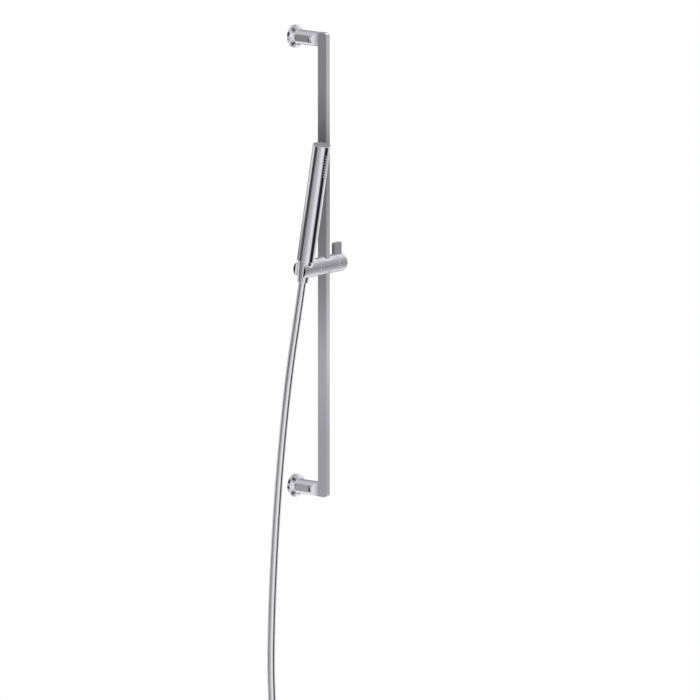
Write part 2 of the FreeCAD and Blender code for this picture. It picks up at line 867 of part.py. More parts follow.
def handset_inlet():
    """The threaded inlet fixed in the foot of the barrel."""
    bore = d.inlet_bore_dia / 2
    plug = handset_bore - d.handset_fit_gap
    plug_foot = d.handset_foot + d.inlet_recess
    body = turned("handset_inlet", "Z", [
        (bore, washer_top),
        (d.thread_dia / 2, washer_top),
        (d.thread_dia / 2, plug_foot),
        (plug, plug_foot),
        (plug, plug_foot + d.inlet_plug_length),
        (bore, plug_foot + d.inlet_plug_length),
    ])
    place(body, **seat)
    keep(body)


def ring_piece(label, outer_dia, bore_dia, foot, thick, spot):
    """A flat ring about the Z axis of its place."""
    body = turned(label, "Z", [
        (bore_dia / 2, foot),
        (outer_dia / 2, foot),
        (outer_dia / 2, foot + thick),
        (bore_dia / 2, foot + thick),
    ])
    place(body, **spot)
    keep(body)


def hose_cone_nut():
    """The tapered nut that joins the hose to the handset and sits in the holder."""
    thread = d.thread_dia / 2 + d.thread_gap
    step = d.washer_dia / 2 + d.thread_gap
    hole = d.hose_dia / 2 + d.hose_bore_gap
    body = turned("hose_cone_nut", "Z", [
        (hole, -d.nut_drop),
        (d.nut_foot_dia / 2, -d.nut_drop),
        (d.nut_top_dia / 2, d.nut_top),
        (thread, d.nut_top),
        (thread, d.nut_wall_step),
        (step, d.nut_wall_step),
        (step, d.nut_shoulder),
        (hole, d.nut_shoulder),
    ])
    place(body, **seat)
    keep(body)


def bend_radii(points):
    """Radius of the bend at each inner point of a route."""
    radii = []
    for before, corner, after in zip(points, points[1:], points[2:]):
        inward = corner - before
        onward = after - corner
        half = inward.getAngle(onward) / 2
        radii.append(RUN_SHARE * min(inward.Length, onward.Length) / math.tan(half))
    return radii


def cord_wire(points):
    """Straight runs joined by tangent arcs along a route."""
    edges = []
    here = points[0]
    for before, corner, after, radius in zip(points, points[1:], points[2:], bend_radii(points)):
        back = (before - corner).normalize()
        onward = (after - corner).normalize()
        half = (math.pi - back.getAngle(onward)) / 2
        reach = radius * math.tan(half)
        middle = (back + onward).normalize() * (radius / math.cos(half) - radius)
        start = corner + back * reach
        end = corner + onward * reach
        edges.append(Part.LineSegment(here, start).toShape())
        edges.append(Part.Arc(start, corner + middle, end).toShape())
        here = end
    edges.append(Part.LineSegment(here, points[-1]).toShape())
    return Part.Wire(edges)


def hose_points():
    """The route from inside the nut to where the hose enters its coil."""
    lean = math.radians(d.handset_tilt.value)
    middle = Vector(-d.handset_place.value, -d.wall_reach.value, 0)
    down = Vector(0, math.sin(lean), -math.cos(lean))
    start = middle - down * (d.nut_shoulder.value - d.hose_top_gap.value)
    return [start, middle + down * HOSE_LEAD] + [Vector(*point) for point in HOSE_ROUTE]


def tube_along(points, radius):
    wire = cord_wire(points)
    section = Part.Wire(Part.makeCircle(radius, points[0], points[1] - points[0]))
    tube = wire.makePipeShell([section], True, False)
    expected = math.pi * radius ** 2 * wire.Length
    print(f"tube length {wire.Length:.1f} mm, volume against section times length {tube.Volume / expected:.5f}")
    return tube


def hose_tube():
    """The hanging stretch of the hose."""
    points = hose_points()
    print("hose bend radii", [round(radius) for radius in bend_radii(points)])
    piece = doc.addObject("Part::Feature", "hose_tube")
    piece.Shape = tube_along(points, d.hose_dia.value / 2)
    keep(piece)


coil_x, coil_y, coil_z = COIL_START
coil_middle = coil_x - d.coil_mean_dia / 2
coil_back = coil_y + d.hose_dia / 2
coil_front = coil_y - d.coil_turns * d.coil_pitch - d.hose_dia / 2


def hose_coil():
    """The outer shape of the stored turns, which hang flat along the wall."""
    inner = (d.coil_mean_dia - d.hose_dia) / 2
    outer = (d.coil_mean_dia + d.hose_dia) / 2
    body = turned("hose_coil", "Y", [
        (inner, coil_back), (outer, coil_back), (outer, coil_front), (inner, coil_front),
    ])
    edges = []
    for radius in (inner, outer):
        for side in (coil_back, coil_front):
            edges += round_edges(body, radius, "y", side)
    dress(body, "Fillet", "hose_coil_round", edges, d.coil_edge_radius)
    place(body, x=coil_middle, z=coil_z)
    keep(body)


def coil_tie():
    """The strap round the turns of the coil, at its top."""
    low = (d.coil_mean_dia - d.hose_dia) / 2 - d.tie_gap
    high = (d.coil_mean_dia + d.hose_dia) / 2 + d.tie_gap
    back = coil_back + d.tie_gap
    front = coil_front - d.tie_gap
    wall = d.tie_thick
    body = padded("coil_tie", "YZ_Plane", d.tie_width,
                  rectangle(front - wall, back + wall, low - wall, high + wall),
                  rectangle(front, back, low, high))
    place(body, x=coil_middle, z=coil_z)
    keep(body)


tail_end = coil_z - d.tail_length
tail_spot = dict(x=coil_x, y=coil_y - d.coil_turns * d.coil_pitch, z=tail_end)


def hose_tail():
    """The last stretch of the hose, from the coil into its end sleeve."""
    top = d.tail_length / 2
    radius = d.hose_dia / 2
    body = turned("hose_tail", "Z", [(0, 0), (radius, 0), (radius, top), (0, top)])
    place(body, **tail_spot)
    keep(body)


neck_top = -d.end_sleeve_floor
flange_top = neck_top - d.end_neck_length
flange_foot = flange_top - d.ferrule_flange_thick
nut_web_foot = flange_top + d.end_nut_gap


def hose_end_ferrule():
    """The sleeve pressed on the hose's end, with a neck and a flange for the swivel nut."""
    sleeve = d.end_sleeve_dia / 2
    grip = d.hose_dia / 2 + d.handset_fit_gap
    bore = d.ferrule_bore_dia / 2
    body = turned("hose_end_ferrule", "Z", [
        (bore, flange_foot),
        (d.ferrule_flange_dia / 2 - d.end_nut_gap, flange_foot),
        (d.ferrule_flange_dia / 2 - d.end_nut_gap, flange_top),
        (d.end_neck_dia / 2, flange_top),
        (d.end_neck_dia / 2, neck_top),
        (sleeve, neck_top),
        (sleeve, d.end_sleeve_length),
        (grip, d.end_sleeve_length),
        (grip, 0),
        (bore, 0),
    ])
    place(body, **tail_spot)
    keep(body)


def hose_end_nut():
    """The hexagon swivel nut at the supply end of the hose."""
    top = nut_web_foot + d.end_nut_web
    mouth = flange_foot - d.washer_thick - d.end_thread_length
    corner = d.end_nut_across_flats / math.sqrt(3)
    flat = d.end_nut_across_flats / 2
    thread = d.end_thread_bore_dia / 2
    relief = thread + d.end_thread_relief
    neck = d.end_neck_dia / 2 + d.running_gap
    body = turned("hose_end_nut", "Z", [
        (thread, mouth),
        (flat, mouth),
        (corner, mouth + d.end_nut_bevel),
        (corner, top - d.end_nut_bevel),
        (flat, top),
        (neck, top),
        (neck, nut_web_foot),
        (relief, nut_web_foot),
        (relief, mouth + d.end_thread_length),
        (thread, mouth + d.end_thread_length),
    ])
    sides = sketch_on(body, "hose_end_nut_flats_sketch", "XY_Plane")
    draw_outline(sides, hexagon(d.end_nut_across_flats))
    draw_outline(sides, rectangle(-corner * 2, corner * 2, -corner * 2, corner * 2))
    cut(body, "hose_end_nut_flats", sides)
    place(body, **tail_spot)
    keep(body)


def build():
    rail_bar()
    for name, height in fixing_heights:
        post(name, height)
        wall_flange(name, height)
        wall_boss(name, height)
    boss_grub_screws()
    post_screws()
    carriage_body()
    slide_liner()
    knob_ring()
    brake_shoe()
    clamp_plunger()
    clamp_knob()
    holder_fork()
    tilt_disc()
    spring_washer()
    pivot_screw()
    handset_tube()
    nozzle_strip()
    handset_cap()
    handset_inlet()
    ring_piece("handset_washer", d.washer_dia, d.washer_bore_dia, washer_foot, d.washer_thick, seat)
    ring_piece("hose_top_ferrule", d.ferrule_flange_dia, d.ferrule_bore_dia, d.nut_shoulder,
               d.ferrule_flange_thick, seat)
    hose_cone_nut()
    hose_tube()
    hose_coil()
    coil_tie()
    hose_tail()
    hose_end_ferrule()
    ring_piece("hose_end_washer", d.end_thread_bore_dia - d.end_nut_gap * 2, d.washer_bore_dia,
               flange_foot - d.washer_thick, d.washer_thick, tail_spot)
    hose_end_nut()


def export():
    """Check every object and shape, then write one file for each node."""
    doc.recompute()
    for thing in doc.Objects:
        if {"Invalid", "Error"} & set(thing.State):
            raise RuntimeError(f"{thing.Label} failed: {thing.State}")
    for piece in nodes:
        if piece.Shape.isNull() or not piece.Shape.isValid():
            raise RuntimeError(f"{piece.Label} has no valid shape")
    os.makedirs("parts", exist_ok=True)
    for piece in nodes:
        piece.Shape.exportStep(f"parts/{piece.Label}.step")
        print(f"{piece.Label}: {len(piece.Shape.Solids)} solid, {piece.Shape.Volume / 1000:.2f} cm3")


build()
export()
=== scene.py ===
import math

import bmesh
import bpy
from mathutils import Matrix, Vector


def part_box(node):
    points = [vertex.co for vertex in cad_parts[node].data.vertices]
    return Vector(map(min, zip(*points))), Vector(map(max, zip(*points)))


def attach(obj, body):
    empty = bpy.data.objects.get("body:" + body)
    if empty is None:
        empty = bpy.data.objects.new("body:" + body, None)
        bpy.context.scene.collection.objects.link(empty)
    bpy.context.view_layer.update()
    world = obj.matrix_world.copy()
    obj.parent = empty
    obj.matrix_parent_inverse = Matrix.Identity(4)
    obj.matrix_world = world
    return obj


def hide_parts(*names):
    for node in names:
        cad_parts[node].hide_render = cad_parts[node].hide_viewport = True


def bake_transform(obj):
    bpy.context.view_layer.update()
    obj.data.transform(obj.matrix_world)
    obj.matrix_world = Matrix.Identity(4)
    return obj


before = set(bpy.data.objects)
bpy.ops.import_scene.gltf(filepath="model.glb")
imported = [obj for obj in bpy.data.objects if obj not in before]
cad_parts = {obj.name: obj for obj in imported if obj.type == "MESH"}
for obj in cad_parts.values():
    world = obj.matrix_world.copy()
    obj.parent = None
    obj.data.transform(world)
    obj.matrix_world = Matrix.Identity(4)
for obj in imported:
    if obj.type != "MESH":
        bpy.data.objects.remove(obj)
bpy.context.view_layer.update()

MM = 0.001
TURN_STEPS = 128
EDGE_STEPS = 4
SMOOTH_ANGLE = math.radians(35)
MERGE_DISTANCE = 1e-6   # in metres
SPOT_DISTANCE = 1e-5    # in metres, how near to a place a point counts as there
PICK_MARGIN = 0.01      # in mm, how far off a face a point still counts as on it

# Where the pieces stand, in mm: the wall is Y = 0 and the room lies towards -Y.
FIXING_HEIGHT = 355.5
WALL_REACH = 60.0
HANDSET_PLACE = 46.9
HANDSET_TILT = 10.0

SLIDER = Matrix.Translation((0, -WALL_REACH * MM, 0))
SEAT = Matrix.Translation((-HANDSET_PLACE * MM, -WALL_REACH * MM, 0))
SEAT = SEAT @ Matrix.Rotation(math.radians(HANDSET_TILT), 4, "X")
ALONG_X = Matrix.Rotation(math.radians(90), 4, "Y")
OUT_OF_WALL = Matrix.Rotation(math.radians(90), 4, "X")


# Modelling

def deselect():
    if bpy.context.object and bpy.context.object.mode != "OBJECT":
        bpy.ops.object.mode_set(mode="OBJECT")
    bpy.ops.object.select_all(action="DESELECT")


def take(piece):
    """Select one piece alone."""
    deselect()
    piece.select_set(True)
    bpy.context.view_layer.objects.active = piece


def named(name):
    piece = bpy.context.object
    piece.name = name
    piece.data.name = name
    return piece


def pick(piece, kind, test):
    """In edit mode, select what passes a test."""
    bpy.ops.mesh.select_mode(type=kind)
    bpy.ops.mesh.select_all(action="DESELECT")
    mesh = bmesh.from_edit_mesh(piece.data)
    elements = {"VERT": mesh.verts, "EDGE": mesh.edges, "FACE": mesh.faces}[kind]
    for element in elements:
        element.select_set(bool(test(element)))
    bmesh.update_edit_mesh(piece.data)


def put(piece, matrix):
    """Move a piece to its place, and keep the place in its mesh."""
    take(piece)
    piece.matrix_world = matrix @ piece.matrix_world
    bpy.ops.object.transform_apply(location=True, rotation=True, scale=True)
    return piece


def outline(name, corners):
    """A closed wire through corners in metres, drawn by extruding one vertex; it is left in edit mode."""
    deselect()
    bpy.ops.mesh.primitive_plane_add(size=MM)
    piece = named(name)
    bpy.ops.object.mode_set(mode="EDIT")
    bpy.ops.mesh.select_mode(type="VERT")
    bpy.ops.mesh.merge(type="CENTER")
    bpy.ops.transform.translate(value=corners[0])
    for here, there in zip(corners, corners[1:] + corners[:1]):
        bpy.ops.mesh.extrude_region_move(TRANSFORM_OT_translate={"value": there - here})
    bpy.ops.mesh.select_all(action="SELECT")
    bpy.ops.mesh.remove_doubles(threshold=MERGE_DISTANCE)
    return piece


def close(piece):
    """Merge what meets, clear loose edges and turn the faces outwards; it leaves edit mode."""
    bpy.ops.mesh.select_all(action="SELECT")
    bpy.ops.mesh.remove_doubles(threshold=MERGE_DISTANCE)
    bpy.ops.mesh.delete_loose(use_verts=True, use_edges=True, use_faces=False)
    bpy.ops.mesh.select_all(action="SELECT")
    bpy.ops.mesh.normals_make_consistent(inside=False)
    bpy.ops.object.mode_set(mode="OBJECT")
    return piece


def turned(name, profile, rounds=(), angle=360.0, steps=TURN_STEPS):
    """Spin a closed half profile of (height, radius) in mm about Z.

    rounds lists (corner number, radius in mm, segments) of the profile's corners.
    """
    corners = [Vector((radius * MM, 0, height * MM)) for height, radius in profile]
    piece = outline(name, corners)
    for corner, radius, segments in rounds:
        spot = corners[corner]
        pick(piece, "VERT", lambda vertex: (vertex.co - spot).length < SPOT_DISTANCE)
        bpy.ops.mesh.bevel(offset=radius * MM, segments=segments, affect="VERTICES")
    bpy.ops.mesh.select_all(action="SELECT")
    if angle < 360:
        bpy.ops.mesh.edge_face_add()
    bpy.ops.mesh.spin(steps=steps, angle=math.radians(angle), center=(0, 0, 0), axis=(0, 0, 1))
    return close(piece)


def prism(name, corners, low, high):
    """An upright prism in mm on an outline of (x, y)."""
    piece = outline(name, [Vector((x, y, low)) * MM for x, y in corners])
    bpy.ops.mesh.edge_face_add()
    bpy.ops.mesh.extrude_region_move(TRANSFORM_OT_translate={"value": (0, 0, (high - low) * MM)})
    return close(piece)


def arc(middle, radius, start, end, steps=24):
    """Points in mm along an arc between two angles in degrees."""
    angles = [math.radians(start + (end - start) * step / steps) for step in range(steps + 1)]
    return [(middle[0] + radius * math.cos(angle), middle[1] + radius * math.sin(angle)) for angle in angles]


def block(name, low, high):
    """A block between two corners in mm."""
    deselect()
    low = Vector(low) * MM
    high = Vector(high) * MM
    bpy.ops.mesh.primitive_cube_add(size=1, location=(low + high) / 2)
    piece = named(name)
    piece.scale = high - low
    bpy.ops.object.transform_apply(location=True, rotation=True, scale=True)
    return piece


def shaft(name, half_x, half_y, half_z):
    """A block in mm round the origin, by its half sizes."""
    return block(name, (-half_x, -half_y, -half_z), (half_x, half_y, half_z))


def rod(name, radius, low, high, place=(0, 0), vertices=TURN_STEPS):
    """An upright round bar in mm, from one height to another."""
    deselect()
    middle = Vector((place[0], place[1], (low + high) / 2)) * MM
    bpy.ops.mesh.primitive_cylinder_add(
        vertices=vertices, radius=radius * MM, depth=(high - low) * MM, location=middle)
    piece = named(name)
    bpy.ops.object.transform_apply(location=True, rotation=True, scale=True)
    return piece


def bevel_edges(piece, test, width, segments):
    """Round the edges that pass a test, or every sharp edge where there is no test."""
    take(piece)
    bpy.ops.object.mode_set(mode="EDIT")
    if test:
        pick(piece, "EDGE", test)
    else:
        bpy.ops.mesh.select_mode(type="EDGE")
        bpy.ops.mesh.select_all(action="DESELECT")
        bpy.ops.mesh.edges_select_sharp(sharpness=SMOOTH_ANGLE)
    bpy.ops.mesh.bevel(offset=width * MM, segments=segments, affect="EDGES")
    bpy.ops.object.mode_set(mode="OBJECT")


def combine(piece, tool, operation="DIFFERENCE"):
    """Cut a piece with another, or weld them, and clear the tool away."""
    take(piece)
    modifier = piece.modifiers.new("combine", "BOOLEAN")
    modifier.operation = operation
    modifier.solver = "EXACT"
    modifier.object = tool
    bpy.ops.object.modifier_apply(modifier=modifier.name)
    bpy.data.objects.remove(tool)
    bpy.ops.object.mode_set(mode="EDIT")
    return close(piece)


def soften(piece, width, segments=3):
    """A fine round along every sharp edge."""
    take(piece)
    modifier = piece.modifiers.new("soften", "BEVEL")
    modifier.width = width * MM
    modifier.segments = segments
    modifier.limit_method = "ANGLE"
    modifier.angle_limit = SMOOTH_ANGLE
    modifier.miter_outer = "MITER_ARC"
    bpy.ops.object.modifier_apply(modifier=modifier.name)
    return piece


def copied(piece, name, matrix):
    """A copy with a mesh of its own, at another place."""
    twin = piece.copy()
    twin.data = piece.data.copy()
    twin.name = name
    twin.data.name = name
    bpy.context.scene.collection.objects.link(twin)
    twin.data.transform(matrix)
    return twin


def joined(name, pieces):
    take(pieces[0])
    for piece in pieces:
        piece.select_set(True)
    bpy.ops.object.join()
    return named(name)


def dress(piece, material, body, slot, *nodes):
    """Give a finished piece its material, its body, if it rides on one, and the nodes that it stands for."""
    take(piece)
    bpy.ops.object.shade_smooth_by_angle(angle=SMOOTH_ANGLE)
    # Large faces keep their own direction, so that flat sides mirror evenly up to their rounded edges.
    modifier = piece.modifiers.new("even_faces", "WEIGHTED_NORMAL")
    modifier.keep_sharp = True
    bpy.ops.object.modifier_apply(modifier=modifier.name)
    piece.data.materials.clear()
    piece.data.materials.append(material)
    # As in the photograph, the mirror finish shows the studio and not the neighbouring pieces.
    piece.visible_glossy = False
    if body:
        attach(piece, body)
    if nodes:
        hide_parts(*nodes)


# Materials: sizes and depths in mm of the patterns that the eye finds on each.

HAZE_SIZE = 18
BUFFING_SIZE = 14
BUFFING_DEPTH = 0.2
TARNISH_SIZE = 6
TOOL_RING_SIZE = 0.8
TOOL_RING_DEPTH = 0.05
STEEL_GRAIN_SIZE = 0.6
MOULD_GRAIN_DEPTH = 0.04
GRAINS_IN_PATCH = 8
FOIL_SIZE = 5


def linear(code):
    """An sRGB hex colour as linear red, green, blue and alpha."""
    parts = [int(code[start:start + 2], 16) / 255 for start in (1, 3, 5)]
    return [p / 12.92 if p <= 0.04045 else ((p + 0.055) / 1.055) ** 2.4 for p in parts] + [1.0]


def per_mm(size):
    """Texture scale, in repeats for each metre, of a pattern of a size in mm."""
    return 1 / (size * MM)


def add_node(tree, kind, inputs=None, links=None, **settings):
    """Add a node with its settings, its input values and its links."""
    node = tree.nodes.new(kind)
    for name, value in settings.items():
        setattr(node, name, value)
    for name, value in (inputs or {}).items():
        node.inputs[name].default_value = value
    for name, (source, output) in (links or {}).items():
        tree.links.new(source.outputs[output], node.inputs[name])
    return node


def new_material(name):
    """An empty material with a surface shader and object coordinates."""
    material = bpy.data.materials.new(name)
    material.use_nodes = True
    tree = material.node_tree
    tree.nodes.clear()
    shader = add_node(tree, "ShaderNodeBsdfPrincipled")
    add_node(tree, "ShaderNodeOutputMaterial", links={"Surface": (shader, "BSDF")})
    coords = add_node(tree, "ShaderNodeTexCoord")
    return material, tree, shader, coords


def set_inputs(shader, **values):
    for name, value in values.items():
        shader.inputs[name.replace("_", " ")].default_value = value


def polished_chrome(name, tint):
    """Electroplated chrome over polished metal: a cool mirror, with the faint waves of buffing."""
    material, tree, shader, coords = new_material(name)
    set_inputs(shader, Base_Color=linear(tint), Metallic=1.0)
    haze = add_node(tree, "ShaderNodeTexNoise", inputs={"Scale": per_mm(HAZE_SIZE), "Detail": 3.0},
                    links={"Vector": (coords, "Object")})
    spread = add_node(tree, "ShaderNodeMapRange", inputs={"To Min": 0.02, "To Max": 0.05},
                      links={"Value": (haze, "Fac")})
    tree.links.new(spread.outputs["Result"], shader.inputs["Roughness"])
    waves = add_node(tree, "ShaderNodeTexNoise", inputs={"Scale": per_mm(BUFFING_SIZE), "Detail": 1.0},
                     links={"Vector": (coords, "Object")})
    bump = add_node(tree, "ShaderNodeBump", inputs={"Strength": 0.02, "Distance": BUFFING_DEPTH * MM},
                    links={"Height": (waves, "Fac")})
    tree.links.new(bump.outputs["Normal"], shader.inputs["Normal"])
    return material


def turned_brass():
    """Machined brass that is left bare: warm, with the rings of the lathe tool."""
    material, tree, shader, coords = new_material("turned_brass")
    set_inputs(shader, Metallic=1.0, Roughness=0.28)
    tarnish = add_node(tree, "ShaderNodeTexNoise", inputs={"Scale": per_mm(TARNISH_SIZE), "Detail": 4.0},
                       links={"Vector": (coords, "Object")})
    colour = add_node(tree, "ShaderNodeValToRGB", links={"Fac": (tarnish, "Fac")})
    colour.color_ramp.elements[0].color = linear("#A98A4B")
    colour.color_ramp.elements[1].color = linear("#CDB273")
    tree.links.new(colour.outputs["Color"], shader.inputs["Base Color"])
    rings = add_node(tree, "ShaderNodeTexNoise", inputs={"Scale": per_mm(TOOL_RING_SIZE), "Detail": 2.0},
                     links={"Vector": (coords, "Object")})
    bump = add_node(tree, "ShaderNodeBump", inputs={"Strength": 0.2, "Distance": TOOL_RING_DEPTH * MM},
                    links={"Height": (rings, "Fac")})
    tree.links.new(bump.outputs["Normal"], shader.inputs["Normal"])
    return material


def stainless_steel():
    """Plain stainless fasteners: grey metal with a fine, dull grain."""
    material, tree, shader, coords = new_material("plain_stainless_steel")
    set_inputs(shader, Base_Color=linear("#A9A9AD"), Metallic=1.0)
    grain = add_node(tree, "ShaderNodeTexNoise", inputs={"Scale": per_mm(STEEL_GRAIN_SIZE), "Detail": 3.0},
                     links={"Vector": (coords, "Object")})
    spread = add_node(tree, "ShaderNodeMapRange", inputs={"To Min": 0.22, "To Max": 0.42},
                      links={"Value": (grain, "Fac")})
    tree.links.new(spread.outputs["Result"], shader.inputs["Roughness"])
    return material


def moulded_plastic(name, pale, deep, grit, roughness, gloss):
    """A moulded plastic or rubber: an even tone with a fine satin grain from its mould."""
    material, tree, shader, coords = new_material(name)
    set_inputs(shader, Roughness=roughness, Specular_IOR_Level=gloss)
    patch = per_mm(grit * GRAINS_IN_PATCH)
    tone = add_node(tree, "ShaderNodeTexNoise", inputs={"Scale": patch, "Detail": 3.0},
                    links={"Vector": (coords, "Object")})
    colour = add_node(tree, "ShaderNodeValToRGB", links={"Fac": (tone, "Fac")})
    colour.color_ramp.elements[0].color = linear(deep)
    colour.color_ramp.elements[1].color = linear(pale)
    tree.links.new(colour.outputs["Color"], shader.inputs["Base Color"])
    grain = add_node(tree, "ShaderNodeTexNoise", inputs={"Scale": per_mm(grit), "Detail": 2.0},
                     links={"Vector": (coords, "Object")})
    bump = add_node(tree, "ShaderNodeBump", inputs={"Strength": 0.15, "Distance": MOULD_GRAIN_DEPTH * MM},
                    links={"Height": (grain, "Fac")})
    tree.links.new(bump.outputs["Normal"], shader.inputs["Normal"])
    return material


def silver_hose():
    """Smooth hose: silver foil under clear plastic, so a soft metal sheen below a sharp gloss."""
    material, tree, shader, coords = new_material("silver_foil_under_clear_vinyl")
    set_inputs(shader, Metallic=1.0, Coat_Weight=0.6, Coat_Roughness=0.06)
    foil = add_node(tree, "ShaderNodeTexNoise", inputs={"Scale": per_mm(FOIL_SIZE), "Detail": 3.0},
                    links={"Vector": (coords, "Object")})
    colour = add_node(tree, "ShaderNodeValToRGB", links={"Fac": (foil, "Fac")})
    colour.color_ramp.elements[0].color = linear("#E4E3EA")
    colour.color_ramp.elements[1].color = linear("#F0EFF5")
    tree.links.new(colour.outputs["Color"], shader.inputs["Base Color"])
    spread = add_node(tree, "ShaderNodeMapRange", inputs={"To Min": 0.2, "To Max": 0.28},
                      links={"Value": (foil, "Fac")})
    tree.links.new(spread.outputs["Result"], shader.inputs["Roughness"])
    return material


chrome = polished_chrome("polished_chrome_on_brass", "#DBDAE2")
# A darker copy of the same chrome for the carriage, knob and holder: painted shade, so that their barrel
# reads darker than the bar in the same reflections.
shaded_slider_chrome = polished_chrome("polished_chrome_with_painted_shade", "#B9B8BF")
brass = turned_brass()
steel = stainless_steel()
hose_skin = silver_hose()
acetal = moulded_plastic("moulded_acetal", "#D8D8D5", "#CBCBC8", 0.5, 0.42, 0.5)
white_acetal = moulded_plastic("white_moulded_acetal", "#FDFDFF", "#F7F7FA", 0.5, 0.42, 0.5)
silicone = moulded_plastic("grey_silicone_rubber", "#C8C8CD", "#B8B8BD", 0.4, 0.5, 0.4)
seal_rubber = moulded_plastic("black_seal_rubber", "#1E1E20", "#161617", 0.4, 0.6, 0.4)


# Camera: the photograph looks from the lower left of the wall's front, from far away.

VIEW_AZIMUTH = -50.3
VIEW_ELEVATION = 10.26
VIEW_DISTANCE = 27.6
VIEW_LENS = 910.5
AIM_RIGHT = 86.9
AIM_UP = -138.8


def facing(place, back):
    """The stand of a camera or a lamp that looks against a direction."""
    return Matrix.Translation(place) @ back.to_track_quat("Z", "Y").to_matrix().to_4x4()


def camera():
    azimuth = math.radians(VIEW_AZIMUTH)
    elevation = math.radians(VIEW_ELEVATION)
    back = Vector((math.sin(azimuth) * math.cos(elevation),
                   -math.cos(azimuth) * math.cos(elevation),
                   math.sin(elevation)))
    right = Vector((math.cos(azimuth), math.sin(azimuth), 0))
    up = back.cross(right)
    aim = (right * AIM_RIGHT + up * AIM_UP) * MM
    data = bpy.data.cameras.new("photo_camera")
    data.lens = VIEW_LENS
    data.clip_end = VIEW_DISTANCE * 4
    eye = bpy.data.objects.new("photo_camera", data)
    eye.matrix_world = facing(aim + back * VIEW_DISTANCE, back)
    bpy.context.scene.collection.objects.link(eye)
    bpy.context.scene.camera = eye


# Hose

HOSE_DIAMETER = 12.5
HOSE_TOP = 4.7          # above the slider's axis, inside the nut
HOSE_LEAD = 60.0        # below the slider's axis, the straight stretch out of the nut
NUT_DROP = 21.0
HOSE_ROUTE = [
    (-58.0, -41.0, -150.0),
    (-63.2, -31.0, -250.0),
    (-66.6, -23.0, -350.0),
    (-69.6, -17.6, -450.0),
    (-72.8, -15.0, -545.0),
    (-74.8, -14.6, -630.0),
    (-72.4, -15.2, -690.0),
    (-72.0, -15.0, -725.0),
]
COIL_START = (-72.0, -15.0, -753.0)
COIL_RADIUS = 62.5
COIL_PITCH = 13.0
COIL_TURNS = 2
COIL_POINTS = 24
TAIL_LENGTH = 55.0
HOSE_ORDER = 3          # a quadratic spline
HOSE_STEPS = 8
HOSE_SIDE_STEPS = 8


def hose_points():
    """The route's control points in metres: from the nut, down the wall, round the coil to the tail."""
    points = [SEAT @ Vector((0, 0, HOSE_TOP * MM)), SEAT @ Vector((0, 0, -HOSE_LEAD * MM))]
    points += [Vector(point) * MM for point in HOSE_ROUTE]
    start = Vector(COIL_START)
    middle = start - Vector((COIL_RADIUS, 0, 0))
    # A quadratic spline passes inside its points by this share of the radius.
    reach = COIL_RADIUS / (0.75 + 0.25 * math.cos(math.tau / COIL_POINTS))
    for step in range(1, COIL_TURNS * COIL_POINTS):
        turn = -math.tau * step / COIL_POINTS
        out = -COIL_PITCH * step / COIL_POINTS
        points.append((middle + Vector((reach * math.cos(turn), out, reach * math.sin(turn)))) * MM)
    tail = start + Vector((0, -COIL_PITCH * COIL_TURNS, 0))
    points += [(tail - Vector((0, 0, TAIL_LENGTH * share))) * MM for share in (0.0, 0.5, 1.0)]
    return points


def hose():
    data = bpy.data.curves.new("shower_hose", "CURVE")
    data.dimensions = "3D"
    data.resolution_u = HOSE_STEPS
    points = hose_points()
    spline = data.splines.new("NURBS")
    spline.points.add(len(points) - 1)
    for spot, point in zip(spline.points, points):
        spot.co = (*point, 1.0)
    spline.order_u = HOSE_ORDER
    spline.use_endpoint_u = True
    piece = bpy.data.objects.new("shower_hose", data)
    bpy.context.scene.collection.objects.link(piece)
    line = bpy.data.meshes.new_from_object(piece)
    path = [vertex.co.copy() for vertex in line.vertices]
    bpy.data.meshes.remove(line)
    data.bevel_depth = HOSE_DIAMETER / 2 * MM
    data.bevel_resolution = HOSE_SIDE_STEPS
    data.use_fill_caps = True
    take(piece)
    bpy.ops.object.convert(target="MESH")
    piece = named("shower_hose")
    bpy.ops.object.mode_set(mode="EDIT")
    close(piece)
    dress(piece, hose_skin, None, "hose_plastic", "hose_tube", "hose_coil", "hose_tail")
    return piece, path


# Rail

BAR_CORNER = 4.5
BAR_CORNER_STEPS = 14
BAR_EDGE = 0.6


def rail_bar():
    low, high = (Vector(corner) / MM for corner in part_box("rail_bar"))
    piece = block("rail_bar_polished", low, high)
    front = low.y * MM + MERGE_DISTANCE

    def at_front_end(edge):
        first, second = (vertex.co for vertex in edge.verts)
        return abs(first.x - second.x) > MERGE_DISTANCE and max(first.y, second.y) < front

    bevel_edges(piece, at_front_end, BAR_CORNER, BAR_CORNER_STEPS)
    bevel_edges(piece, None, BAR_EDGE, EDGE_STEPS)
    dress(piece, chrome, "rail", "chrome", "rail_bar")


POST_RADIUS = 11.5
POST_LENGTH = 51.25
POST_FOOT = 0.3         # the post stays this far clear of the wall
POST_SPIGOT = 11.0      # inside the flange
POST_BORE = 7.1         # over the wall boss
POST_BORE_END = 21.0
POST_SCREW = 3.05
POST_FLAT = 10.2
POST_EDGE = 0.2
FLAT_START = 11.7
FLAT_END = 36.5
FLAT_ROOT = 4.5
FLAT_RUNOUT = 16.0
ROOT_ARC = (100, 180)   # in degrees, as the other arcs
RUNOUT_ARC = (180, 207)
NECK_RADIUS = 29.0
NECK_MIDDLE = (29.4, 66.1)
NECK_ARC = (126, 149)
NECK_HALF = 4.5
COLLAR_RADIUS = 13.7
COLLAR_FACE = 9.0
COLLAR_EDGE = 0.7
COLLAR_ROOT = 1.6
GRUB_RADIUS = 2.55
GRUB_PLACE = 9.6
GRUB_STEPS = 48
FLANGE_BORE = 11.2
FLANGE_FOOT = 17.8
FLANGE_RADIUS = 18.6
FLANGE_FACE = 5.8
FLANGE_EDGE = 0.3
FLANGE_GAP = 0.05


